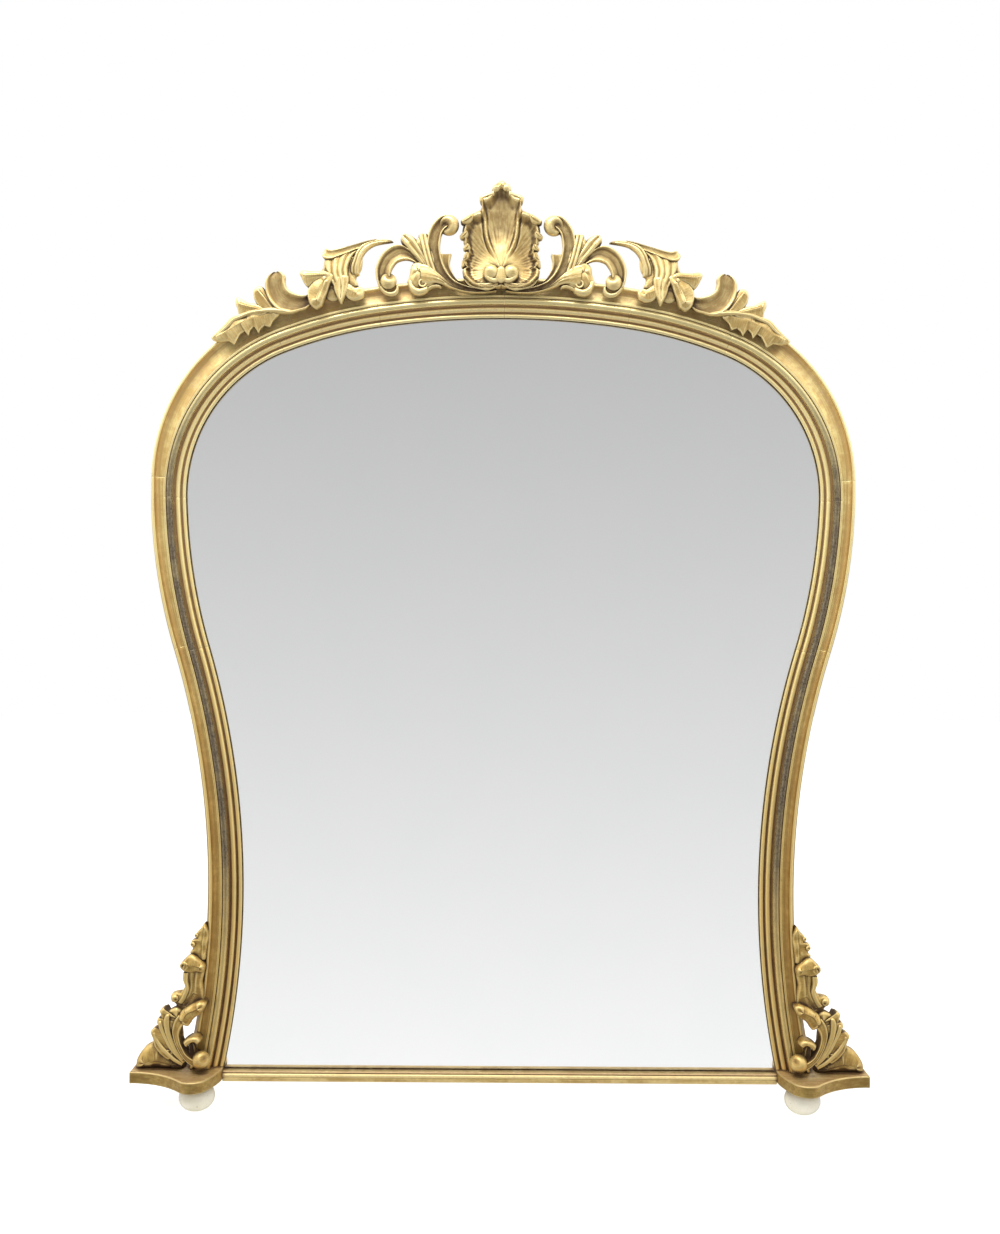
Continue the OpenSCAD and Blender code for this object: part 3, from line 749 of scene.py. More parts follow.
def gold_leaf(given):
    """Gold leaf: toned patches, laps, rubbed bole, specks of grime, a painted highlight on ridges, and
    painted shade, with some grime, in hollows, creases and closed-over places.
    """
    spot, wear, bend, hollow = (given[key] for key in ("Place", "Wear", "Bend", "Hollow"))
    broad = noise(spot, 14, 3, 0.5)
    patch = noise(spot, 75, 5, 0.6, 0.4)
    lines = noise(given["Streak"], 1.0, 5, 0.62)
    grain = noise(spot, 620, 3, 0.6)
    # edge marks ridges, which get a lighter tone and a painted highlight; creases, where bend is below
    # 0, get a darker tone as painted shade.
    edge = step(bend, 0.04, 0.24) * (1.0 - hollow).clamped()
    tone = broad * 0.35 + (patch * 0.35 + lines * 0.5)
    tone = tone - edge * 0.14 + step(bend, 0.0, -0.16, 0.0, 0.1)
    colour = mix_colour(step(tone, 0.47, 0.72), given["Leaf"], given["Toned"])
    colour = mix_colour(edge * given["Gleam"], colour, (1.0, 0.84, 0.44))
    rubbed = noise(spot, 130, 6, 0.68, 0.6) * 0.6 + (given["Rub"] * 0.35 + wear * 0.18)
    share = (step(rubbed, 0.42, 0.62) * (wear * 1.25)).clamped()
    colour = mix_colour(share, colour, given["Bole"])
    specks = step(noise(spot, 420, 4, 0.7), 0.62, 0.72)
    colour = mix_colour(specks * 0.55, colour, given["Dirt"])
    # Painted shade, with some grime: closed-over places, the hollow mask and creases are mixed towards
    # the shade-and-grime colour, less on ridges.
    shut = (1.0 - given["Open"]).clamped()
    shade_and_dirt = hollow * 0.55 + step(shut, 0.05, 0.52) * 1.2
    shade_and_dirt = shade_and_dirt + step(bend, -0.02, -0.25, 0.0, 0.5)
    shade_and_dirt = (shade_and_dirt - edge * 0.2).clamped()
    shade_and_dirt = (shade_and_dirt * (0.65 + patch * 0.6)).clamped()
    rough = 0.32 + (patch * 0.14 + share * 0.25)
    return {
        "Color": mix_colour(shade_and_dirt, colour, given["Dirt"]),
        "Roughness": (rough + shade_and_dirt * 0.3).clamped(),
        "Metallic": (1.0 - calc("MAXIMUM", share, shade_and_dirt)).clamped(),
        "Height": patch * 0.6 + (grain * 0.25 + lines * 0.5) - share * 0.35,
    }


def wood_grain(given):
    """Sawn or planed wood: growth rings stretched along the grain, pores and stains."""
    spot = given["Place"]
    rings = noise(scaled(spot, (0.9, 30, 30)), given["Scale"], 4, 0.5, 0.25)
    waves = calc("FRACT", rings * 11)
    pores = noise(scaled(spot, (30, 900, 900)), 1.0, 3, 0.6)
    stain = noise(spot, 6, 4, 0.55)
    tone = step(waves, 0.1, 0.95) * 0.4 + (pores * 0.4 + stain * 0.5)
    return {
        "Color": mix_colour(step(tone, 0.25, 1.15), given["Light"], given["Dark"]),
        "Roughness": 0.62 + pores * 0.25,
        "Height": waves * 0.4 + pores,
    }


def old_metal(given):
    """Old metal with tarnish in patches over a fine grain."""
    patch = noise(given["Place"], 90, 5, 0.62, 0.5)
    fine = noise(given["Place"], 900, 3, 0.6)
    share = step(patch * 0.8 + given["Age"] * 0.4, 0.4, 0.85)
    return {
        "Color": mix_colour(share, given["Clean"], given["Tarnish"]),
        "Roughness": 0.3 + share * 0.35,
        "Height": patch * 0.6 + fine * 0.4,
    }


# ---------------------------------------------------------------- materials

def new_material(name):
    """An empty node material with its Principled shader, and the piece's own coordinates."""
    material = bpy.data.materials.new(name)
    material.use_nodes = True
    tree = material.node_tree
    tree.nodes.clear()
    shader = add_node(tree, "BsdfPrincipled")
    add_node(tree, "OutputMaterial", Surface=shader.outputs[0])
    return material, shader, made_by(tree, "TexCoord", "Object")


def paint(shader, colour, roughness, metallic=0.0):
    """Gives the Principled shader its colour, roughness and metallic share."""
    fill(shader.id_data, shader,
         {"Base Color": colour, "Roughness": roughness, "Metallic": metallic})


def gilt_material(name, kind):
    """Gilding on the mouldings, the carving or the base."""
    look = name + "_look"
    if look in bpy.data.materials:
        return bpy.data.materials[look]
    s = settings("gilt")
    material, shader, spot = new_material(look)
    tree = spot.tree
    place = made_by(tree, "UVMap", "UV")
    height = axis(spot, "Z")
    # rise mixes from the darker lower colours to the upper ones: painted shade towards the base.
    rise = step(height, 0.3, 1.25)
    if kind == "moulding":
        streak = scaled(place, (9, 700, 1))
        rub = mask(tree, "rub") * step(height, 1.0, 1.42, 0.12, 0.85)
        lift = (1.16, 1.15)
        wear = s.wear * 0.9
        distance = 0.0045
        # Painted highlight on ridges, stronger towards the head; the painted shade colour is lighter
        # towards the head.
        painted_highlight = step(height, 0.8, 1.35, 0.3, 0.75)
        dirt = mix_colour(rise, (0.12, 0.055, 0.016), (0.34, 0.21, 0.10))
    elif kind == "carving":
        streak = scaled(place, (60, 420, 1))
        rub = 0.0
        lift = (0.95, 0.98)
        wear = s.wear * 0.35
        distance = 0.022
        # Painted highlight on ridges, stronger towards the top.
        painted_highlight = step(height, 0.3, 1.25, 0.25, 0.55)
        dirt = s.dirt
    else:
        streak = scaled(spot, (12, 260, 260))
        rub = mask(tree, "rub")
        # On the base the pale mask takes the place of the height: the plinth tops are lifted towards the
        # paler colours as painted light, the rail is paler too, and the rest gets the lower colours
        # darkened.
        rise = mask(tree, "pale")
        lift = (0.72, 1.0)
        wear = s.wear * 1.25
        distance = 0.012
        painted_highlight = 0.3
        dirt = (0.15, 0.075, 0.024)
    leaf, toned = [mix_colour(rise, tuple(v * lift[0] for v in low),
                              tuple(min(v * lift[1], 1) for v in high))
                   for low, high in ((s.low_leaf, s.leaf), (s.low_deep, s.deep))]
    group = shared_group(
        "Gold leaf", gold_leaf, Place=None, Streak=None, Leaf=(0.8, 0.6, 0.3, 1),
        Toned=(0.5, 0.3, 0.1, 1), Bole=(0.5, 0.3, 0.2, 1), Dirt=(0.07, 0.03, 0.01, 1), Wear=0.4,
        Hollow=0.0, Rub=0.0, Open=1.0, Bend=0.0, Gleam=0.5)
    gold = use_group(tree, group, Place=spot, Streak=streak, Leaf=leaf, Toned=toned, Bole=s.bole,
                     Dirt=dirt, Wear=wear, Hollow=mask(tree, "hollow"), Rub=rub,
                     Open=openness(tree, distance), Bend=mask(tree, "bend"), Gleam=painted_highlight)
    colour, rough = gold["Color"], gold["Roughness"]
    metal = gold["Metallic"] * s.metal
    if kind == "base":
        metal = metal * step(rise, 0.0, 1.0, 1.0, 0.55)
    if kind == "moulding":
        # Painted reflection on the burnished bead: a speckled dark grey, strong on the legs, less at
        # their feet, and fading out at the head, where the bead mirrors the light above.
        burnish = mask(tree, "burnish")
        fleck = step(noise(spot, 300, 5, 0.7), 0.44, 0.62)
        old = mix_colour(fleck, s.burnished, (0.10, 0.072, 0.045))
        painted_reflection_by_height = step(height, 1.0, 1.34, 1.15, 0.05) * step(height, 0.2, 0.5, 0.2, 1.0)
        share = burnish * ((noise(spot, 30, 4, 0.6) * 0.7 + 0.52) * painted_reflection_by_height)
        colour = mix_colour(share.clamped(), colour, old)
        rough = rough - (0.04 + burnish * 0.14)
    paint(shader, colour, rough, metal)
    set_bump(shader, gold["Height"], 0.35, 0.0006)
    return material


def wood_material(name, light, dark, scale, shift=(0, 0, 0)):
    """Bare wood, darker where little light gets in; the shift picks the part of the tree."""
    material, shader, spot = new_material(name)
    group = shared_group("Wood grain", wood_grain, Place=None, Light=(0.6, 0.45, 0.3, 1),
                         Dark=(0.3, 0.18, 0.09, 1), Scale=1.0)
    wood = use_group(spot.tree, group, Place=scaled(spot, (1, 1, 1), shift), Light=light, Dark=dark,
                     Scale=scale)
    dim = step(openness(spot.tree, 0.02), 0.2, 0.9, 0.35, 1.0)
    paint(shader, mix_colour(dim, (0.03, 0.018, 0.01), wood["Color"]), wood["Roughness"])
    set_bump(shader, wood["Height"], 0.4, 0.0008)
    return material


def metal_material(name, clean, tarnish, age, metallic=1.0):
    material, shader, spot = new_material(name)
    group = shared_group("Old metal", old_metal, Place=None, Clean=(0.7, 0.6, 0.4, 1),
                         Tarnish=(0.2, 0.15, 0.1, 1), Age=0.5)
    metal = use_group(spot.tree, group, Place=spot, Clean=clean, Tarnish=tarnish, Age=age)
    paint(shader, metal["Color"], metal["Roughness"], metallic)
    set_bump(shader, metal["Height"], 0.35, 0.0004)
    return material


def porcelain_material():
    """Cream glaze with faint pooling and a few dark pits."""
    material, shader, spot = new_material("porcelain")
    pool = noise(spot, 40, 3, 0.5)
    colour = mix_colour(step(pool, 0.35, 0.7), settings("base").glaze, (0.84, 0.79, 0.62))
    pits = step(noise(spot, 260, 2, 0.4), 0.715, 0.74)
    colour = mix_colour(pits * 0.6, colour, (0.25, 0.22, 0.18))
    paint(shader, colour, step(pool, 0.2, 0.8, 0.18, 0.34))
    set_bump(shader, pool, 0.12, 0.001)
    return material


def cork_material():
    """Cork: mottled brown with dark lines between its cells."""
    material, shader, spot = new_material("cork")
    cells = add_node(spot.tree, "TexVoronoi", Vector=spot, Scale=700.0)
    grain = noise(spot, 350, 4, 0.6)
    colour = mix_colour(step(grain, 0.35, 0.7), (0.36, 0.2, 0.09), (0.14, 0.07, 0.03))
    near = step(Term(spot.tree, cells.outputs["Distance"]), 0.0, 0.25, 0.6, 0.0)
    paint(shader, mix_colour(near, colour, (0.07, 0.035, 0.015)),
          step(grain, 0.2, 0.8, 0.75, 0.95))
    set_bump(shader, grain, 0.5, 0.0008)
    return material


def glass_material():
    """Clear old plate with a little haze."""
    material, shader, spot = new_material("plate_glass")
    haze = noise(spot, 5, 3, 0.5)
    fill(spot.tree, shader, {"Transmission Weight": 1.0, "IOR": 1.5})
    paint(shader, mix_colour(step(haze, 0.3, 0.8), (0.998, 1.0, 0.999), (0.992, 0.997, 0.995)),
          step(haze, 0.3, 0.9, 0.0, 0.004))
    return material


def silver_material():
    """Silvering: bright through the glass, with a painted back towards the boards."""
    material, shader, spot = new_material("silvering")
    painted = step(axis(made_by(spot.tree, "NewGeometry", "Normal"), "Y"), 0.2, 0.5)
    bright = mix_colour(step(noise(spot, 9, 3, 0.5), 0.3, 0.8), settings("plate").tint,
                        (0.975, 0.977, 0.978))
    back = mix_colour(step(noise(spot, 60, 4, 0.6), 0.3, 0.7), (0.16, 0.07, 0.045),
                      (0.09, 0.05, 0.035))
    paint(shader, mix_colour(painted, bright, back), painted * 0.6, 1.0 - painted)
    return material


def dress(name, material):
    """Gives a CAD node's object its material."""
    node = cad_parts[name]
    if not node.material_slots:
        node.data.materials.append(material)
    for k in range(len(node.material_slots)):
        node.material_slots[k].material = material


# ---------------------------------------------------------------- mouldings

def sight_profile():
    """Section of the sight moulding as (distance out from the sight edge, height), with the
    shares of burnishing, hollow and rubbing at each point."""
    s = settings("moulding")
    r0 = s.sight_r / MM
    r1 = s.bead_r / MM
    mid = 20.3 + r1
    p = np.vstack([
        [(0.6, 24.0)],
        arc_points(r0, 27.0, r0, 198, -8, 15),
        [(6.7, 25.7), (7.6, 25.3), (8.6, 25.3), (9.5, 25.8)],
        arc_points(13.7, 28.7, 4.1, 212, 18, 15),
        [(18.3, 29.7), (19.2, 29.6), (19.9, 30.1), (20.2, 32.5)],
        arc_points(mid, 38.4, r1, 196, -8, 17),
        [(31.2, 38.4), (31.35, 40.6), (31.6, 41.3), (32.2, 41.5), (33.4, 41.5), (34.0, 41.5)],
        [(34.0, 33.0), (34.0, 24.0), (22.0, 24.0), (10.0, 24.0)],
    ])
    u, h = p[:, 0], p[:, 1]
    burnish = ease(u, 20.0, 20.6) * (1 - ease(u, 30.6, 31.3)) * ease(h, 31, 34)
    # Painted shade in the hollow between the beads and in the quirks, carried by the hollow mask.
    shaded_groove = bump(u, 8.1, 1.6) * ease(27.2 - h, 0, 1)
    quirk = bump(u, 19.2, 1.1) * ease(31.5 - h, 0, 1.2) + bump(u, 31.1, 0.35) * ease(39.5 - h, 0, 1)
    hollow = np.clip(shaded_groove * 0.5 + quirk * 0.7, 0, 1)
    rub = 0.5 * bump(u, 13.7, 2.5) * ease(h, 31, 33) + 0.9 * bump(u, 8.1, 2.2)
    return u, h, burnish, hollow, rub


def rings_along(length, spacing):
    """Shares along a moulding, with two close rings at each end for the joint's groove."""
    count = max(8, int(length / spacing))
    inner = np.linspace(0, 1, count + 1)
    e = 0.5 / length
    return np.unique(np.concatenate([[0, e, 3 * e], inner[1:-1], [1 - 3 * e, 1 - e, 1]]))


def near_ends(t, length, width):
    """1 at the two ends of a moulding, less with the distance from them like a bell curve."""
    return np.exp(-((np.minimum(t, 1 - t) * length / width) ** 2))[:, None]


def sight_piece(i):
    """Sight moulding over arc i: the profile carried along the arc, square to it."""
    s = settings("moulding")
    u, h, burnish, hollow, rub = sight_profile()
    arc = SIGHT[i]
    length = abs(arc[4]) * arc[2]
    t = rings_along(length, s.step / MM)
    x, z, _ = along_arc(arc, u, t, PLINTH_TOP if i == len(SIGHT) - 1 else None)
    groove = s.joint / MM * near_ends(t, length, GROOVE_WIDTH) * ease(h, 25, 27)
    around = distances(np.stack([u, h], -1))
    uv = np.stack(np.broadcast_arrays(t[:, None] * length * MM + i, around[None, :] * MM), -1)
    hollow = np.clip(hollow + near_ends(t, length, CRACK_WIDTH), 0, 1)
    return tube(place(x, z, h - groove), uv=uv, burnish=burnish, hollow=hollow, rub=rub)


def frame_piece(i):
    """Ground frame over rim arc i: splayed outside, rounded rim, deep cove that rises to the
    sight moulding, then the seats for the moulding, glass and boards behind. The columns
    beyond the cove follow the sight edge, whose distance changes along the arc."""
    s = settings("moulding")
    arc = RIM[i]
    length = abs(arc[4]) * arc[2]
    t = rings_along(length, s.step / MM)
    floor = PLINTH_TOP if i == len(RIM) - 1 else None
    head = np.linspace(arc[3], arc[3] + arc[4], 160)
    r = arc[1] * arc[2]
    span = sight_distance(arc[0][0] + r * np.sin(head), arc[0][1] + r * np.cos(head), head)
    order = np.argsort(head)
    outer = np.vstack([
        np.stack([np.linspace(-12, 0.0, 8), np.linspace(0, 38.4, 8)], -1)[:-1],
        arc_points(3.4, 38.6, 3.4, 182, 90, 9),
        [(4.3, 42.0), (4.9, 41.8), (5.15, 41.4)],
        arc_points(14.0, 43.0, 9.0, 192, 262, 12)[1:],
    ])
    seats = np.array([(SIGHT_SEAT, 41.5), (SIGHT_SEAT, SIGHT_SEAT_H), (10, SIGHT_SEAT_H), (10, 8),
                      (20, 8), (20, 0)])
    share = np.linspace(0, 1, 12)
    n, k, cove_end = len(t), len(outer), len(share)
    lip_h = 41.4
    columns = cove_end + 1 + len(seats)
    span_at = np.interp(arc[3] + arc[4] * t, head[order], span[order])[:, None] * np.ones(columns)
    for _ in range(4):
        reach = span_at[:, :cove_end] - SIGHT_SEAT - 1.5 - COVE_START
        off_cove = -(COVE_START + share * reach)
        off_lip = -(span_at[:, cove_end:cove_end + 1] - SIGHT_SEAT - 1.4)
        off_seat = -(span_at[:, cove_end + 1:] - seats[:, 0])
        off = np.hstack([np.broadcast_to(-outer[:, 0], (n, k)), off_cove, off_lip, off_seat])
        x, z, a = along_arc(arc, off, t, floor)
        span_at = np.interp(a[:, k:], head[order], span[order])
    cove_h = COVE_CENTRE_H - np.sqrt(COVE_RADIUS**2 - (-off_cove - COVE_START) ** 2)
    h = np.hstack([np.broadcast_to(outer[:, 1], (n, k)), cove_h, np.full((n, 1), lip_h),
                   np.broadcast_to(seats[:, 1], (n, len(seats)))])
    h = h - s.joint / MM * near_ends(t, length, GROOVE_WIDTH) * ease(h, 30, 33)
    col = np.arange(h.shape[1])
    cove = ((col > k - 9) & (col < k + 10)).astype(float)
    rub = 0.55 * cove + 0.5 * bump(col, k - 15, 2)
    # Painted shade on the outer splay and in the crease beside the sight moulding, through the hollow
    # mask; the joints get their dark crack.
    outside = (col < 6).astype(float)
    hollow = 0.9 * outside + 0.5 * bump(col, k + 11.5, 1)
    hollow = np.clip(hollow + near_ends(t, length, CRACK_WIDTH), 0, 1)
    walk = np.cumsum(np.hypot(np.diff(off, axis=1), np.diff(h, axis=1)), axis=1)
    around = np.hstack([np.zeros((n, 1)), walk])
    uv = np.stack(np.broadcast_arrays(t[:, None] * length * MM + i + 0.37, around * MM), -1)
    return tube(place(x, z, h), uv=uv, burnish=0.0, hollow=hollow, rub=rub)


class MIRROR_OT_mouldings(bpy.types.Operator):
    """Sight mouldings and ground frame, each in its arcs"""
    bl_idname = "pier_mirror.mouldings"
    bl_label = "Mouldings"

    def execute(self, context):
        material = gilt_material("oil_gilding", "moulding")
        for side in SIDES:
            for names, build in ((SIGHT_NAMES, sight_piece), (FRAME_NAMES, frame_piece)):
                for i, name in enumerate(names):
                    make_gilt(name + "_" + side, sided(build(i), side), material)
        return {"FINISHED"}


# ---------------------------------------------------------------- base

def inset(outline, amount):
    """A closed outline moved inwards along its normals."""
    d = np.roll(outline, -1, axis=0) - np.roll(outline, 1, axis=0)
    d /= np.maximum(np.linalg.norm(d, axis=1), 1e-9)[:, None]
    area = np.sum(outline[:, 0] * np.roll(outline[:, 1], -1)
                  - np.roll(outline[:, 0], -1) * outline[:, 1])
    n = np.stack([-d[:, 1], d[:, 0]], -1) * np.sign(area)
    return outline + n * amount


def plinth_outline():
    """Plan of the right plinth as (x, height over the back): three tangent arcs in front."""
    arcs = arcs_of((PLINTH_IN, 42.0), math.radians(-80), PLINTH_ARCS)
    edge = np.vstack([arc_line(arc, 22)[1:] for arc in arcs])
    out = PLINTH_IN + PLINTH_LENGTH
    end = edge[-1, 1]
    corner = 1.2
    return np.vstack([
        edge,
        arc_points(out - corner, end - corner, corner, 80, 0, 5),
        arc_points(out - corner, corner, corner, 0, -90, 4),
        [(PLINTH_IN + 40, 0.0)],
        arc_points(PLINTH_IN + 0.4, 0.4, 0.4, 270, 180, 3),
        [(PLINTH_IN, 20.0), (PLINTH_IN, 41.0)],
    ])


def plinth_piece():
    """Plinth: its plan stacked from the underside to the top, drawn in round both arrises by
    a quarter circle."""
    r = settings("base").arris / MM
    outline = plinth_outline()
    w = np.radians(np.linspace(0, 90, 6))
    low = np.stack([r * (1 - np.sin(w)), FOOT_HEIGHT + r * (1 - np.cos(w))], -1)
    high = np.stack([r * (1 - np.cos(w)), PLINTH_TOP - r * (1 - np.sin(w))], -1)
    stack = np.vstack([low, [(0.0, 50.0), (0.0, 55.0)], high])
    rings = [inset(outline, k) for k in stack[:, 0]]
    middle = np.array([[PLINTH_IN + 62.0, 30.0]])
    rings = ([middle + 0.5 * (rings[0] - middle)] + rings
             + [middle + k * (rings[-1] - middle) for k in (0.94, 0.7, 0.4, 0.1)])
    stack = np.vstack([[(0.0, FOOT_HEIGHT)], stack, [(0.0, PLINTH_TOP)] * 4])
    x = np.array([q[:, 0] for q in rings])
    h = np.array([q[:, 1] for q in rings])
    z = np.broadcast_to(stack[:, 1:2], x.shape)
    x = np.clip(x, PLINTH_IN, PLINTH_IN + PLINTH_LENGTH)
    h = np.maximum(h, 0)
    worn = bump(stack[:, 1], PLINTH_TOP, 1.2)
    # pale: the plinth top, lifted towards the paler colours as painted light.
    pale = 0.6 * (stack[:, 1] > PLINTH_TOP - 0.3)[:, None]
    return tube(place(x, z, h), uv=np.stack([x, z], -1) * MM, hollow=0.0, pale=pale,
                rub=0.3 * worn[:, None])


def rail_piece():
    """Bottom rail: its section (fillet, quirk, bead, hollowed band) carried between the
    plinths."""
    p = np.vstack([
        [(0.0, 0.0), (16.0, 0.0), (31.4, 0.0), (32.1, 0.25)],
        [(34.2, 1.8), (35.6, 3.8), (36.9, 6.4), (38.0, 8.9), (38.2, 9.6)],
        arc_points(36.5, 13.0, 3.3, -52, 62, 15),
        [(37.4, 16.2), (36.6, 16.4), (36.3, 16.7), (36.5, 17.1), (37.0, 17.3)],
        [(37.2, 17.7), (37.3, 18.3), (37.1, 18.9), (36.4, 19.4)],
        [(30.0, 19.4), (24.0, 19.4), (24.0, 16.0), (16.0, 16.0), (8.0, 16.0), (8.0, 24.0), (0.0, 24.0)],
    ])
    x = np.concatenate([[-PLINTH_IN, -PLINTH_IN + 0.6],
                        np.linspace(-PLINTH_IN + 6, PLINTH_IN - 6, 120),
                        [PLINTH_IN - 0.6, PLINTH_IN]])
    end = bump(PLINTH_IN - np.abs(x), 0, CRACK_WIDTH)[:, None]
    h = p[None, :, 0] - 0.3 * end * (p[None, :, 0] > 30)
    z = np.broadcast_to(RAIL_LOW + p[None, :, 1], h.shape)
    around = distances(p)
    uv = np.stack(np.broadcast_arrays(x[:, None] * MM, around[None, :] * MM), -1)
    front = p[:, 0] > 31
    # Painted shade in the quirk under the bead and a little on the band, through the hollow mask.
    hollow = (0.7 * bump(p[:, 1], 16.6, 0.4) + 0.1 * bump(p[:, 1], 4, 3.5)) * front
    rub = (0.9 * bump(p[:, 1], 18.6, 0.9) + 0.2 * bump(p[:, 1], 13, 2)) * front
    return tube(place(x[:, None], z, h), uv=uv, hollow=np.clip(hollow + end, 0, 1),
                rub=rub[None, :], pale=1.0)


def foot_piece():
    """Bun foot: a round bun turned about its axis, with a bored underside for its screw."""
    p = np.vstack([
        [(3.1, 42.0), (6.0, 42.0)],
        arc_points(9.0, 21.0, 21.0, 88, -88, 40),
        [(8.0, 0.0), (6.4, 0.0), (6.0, 0.4), (6.0, 6.0), (6.0, 12.0), (4.5, 12.0), (3.1, 12.0),
         (3.1, 27.0)],
    ])
    w = full_turn(72)[:, None]
    x = FOOT_X + p[None, :, 0] * np.cos(w)
    h = FOOT_H + p[None, :, 0] * np.sin(w)
    z = np.broadcast_to(p[None, :, 1], x.shape)
    return tube(place(x, z, h), loop=True)


class MIRROR_OT_base(bpy.types.Operator):
    """Serpentine plinths, bottom rail and bun feet"""
    bl_idname = "pier_mirror.base"
    bl_label = "Base"

    def execute(self, context):
        gilding = gilt_material("plinth_gilding", "base")
        porcelain = porcelain_material()
        for side in SIDES:
            make_gilt("plinth_" + side, sided(plinth_piece(), side), gilding)
            make_piece("bun_foot_" + side + "_glazed", [sided(foot_piece(), side)], porcelain,
                       ["bun_foot_" + side])
        make_gilt("bottom_rail", rail_piece(), gilding)
        return {"FINISHED"}


# ---------------------------------------------------------------- crest

def shell_reach(angle):
    """Distance from the shell's focus to its outline at an angle from the upright."""
    table = np.array([(0, 150), (3, 148), (5, 143), (8, 132), (11, 128.5), (16.6, 127), (17.4, 110),
                      (20, 106.5), (25, 107), (30, 109), (38, 103), (45, 94), (50, 84), (54, 80),
                      (57, 71), (61, 66), (67, 68), (72, 65.5), (77, 69), (82, 67), (86, 61),
                      (90, 66), (101, 65), (109, 61), (119, 56), (129, 50), (142, 41), (155, 35.5),
                      (168, 33), (180, 31)], float)
    return np.interp(np.abs(angle), table[:, 0], table[:, 1])


def shell_piece():
    """Scallop shell in polar form about its focus: at angle phi and share rho of the way to
    the outline, the height is a shallow bowl, less a hollow between each pair of ridges, plus
    the ridges and a rolled, scalloped lip near the rim."""
    m = 300
    phi = np.linspace(-180, 180, m, endpoint=False) + 0.6
    reach = shell_reach(phi)
    rho = np.concatenate([[1.0, 1.0, 1.0], 1 - np.linspace(0, 1, 44) ** 1.25 * 0.96])
    first = np.array([0.8, 0.93] + [1.0] * (len(rho) - 2))
    r = (rho * first)[:, None] * reach[None, :]
    a = np.radians(phi)[None, :]
    x = FOCUS[0] + r * np.sin(a)
    z = FOCUS[1] + r * np.cos(a)
    s = np.abs(phi)[None, :] * np.ones_like(r)
    q = rho[:, None] * np.ones_like(r)
    bowl = 64.0 - 5.0 * np.sin(np.pi * np.clip(q / 0.95, 0, 1)) ** 1.1
    split = 27.0 - 10.0 * ease(r, 35, 105)
    mid_flute = 4.2 * ease(r, 30, 70) * np.clip(1 - (s / split) ** 2, 0, 1)
    k = np.clip((s - split) / (112 - split), 0, 1) ** 0.8
    side_flute = 8.5 * ease(r, 16, 48) * 4 * k * (1 - k)
    wide = np.radians(1.0) * r
    ridge = 3.6 * bump((s - split) * wide, 0, 2.6) * ease(r, 20, 45)
    groove = 1.8 * bump((s - split) * wide, 4.6, 1.5) * ease(r, 30, 55) * (s < 90)
    groove = groove + 1.2 * bump((s - split) * wide, -4.2, 1.5) * ease(r, 30, 55)
    wave = 0.55 + 0.45 * np.cos(np.radians(s * 14 + 30))
    centre_lip = 1 - ease(s, 19, 23)
    lip = (7.0 * centre_lip + (4.0 + 4.0 * wave) * (1 - centre_lip)) * bump(q, 0.93, 0.055)
    under = 1.6 * bump(q, 0.83, 0.05)
    fine = 0.16 * np.sin(np.radians(s) * 62) * ease(r, 30, 60)
    edge = 5.5 * (1 - np.sqrt(np.clip(1 - ((q - 0.93) / 0.07).clip(0, 1) ** 2, 0, 1)))
    h = bowl - mid_flute - side_flute + ridge + lip - under + fine - groove - edge
    h[2] = 44 + 0.6 * (h[3] - 44)
    h[:2] = 43.0
    # Painted shade in the flutes, the grooves, under the lip and over the middle flute, through the
    # hollow mask.
    hollow = 0.19 * mid_flute + 0.075 * side_flute + 0.09 * under
    middle = (1 - ease(s, split - 5, split)) * ease(r, 34, 52) * (1 - ease(q, 0.8, 0.88))
    hollow = np.clip(hollow + 0.4 * groove + 0.3 * middle - 0.1, 0, 1)
    uv = np.stack([r * MM, 0.05 * a * np.ones_like(r)], -1)
    return tube(place(x, z, h), uv=uv, hollow=hollow * (q < 0.99))


def fold(phi, reach, length, width, h):
    """Rolled fold on the shell's rim: an egg lying along the rim at an angle and distance
    from the focus."""
    a = math.radians(phi)
    middle = np.array(FOCUS) + reach * np.array([math.sin(a), math.cos(a)])
    along = np.array([math.cos(a), -math.sin(a)])
    out = np.array([math.sin(a), math.cos(a)])
    w = full_turn(12)[:, None]
    outline = middle + along * length / 2 * np.cos(w) + out * width / 2 * np.sin(w)
    outline = outline + out * 0.12 * width * np.cos(2 * w)
    spine = [middle - along * length * 0.3, middle + along * length * 0.3]
    return lobe(outline, spine, h, 47, dome=3.0, edge=4.0, groove=-1.0, around=48)


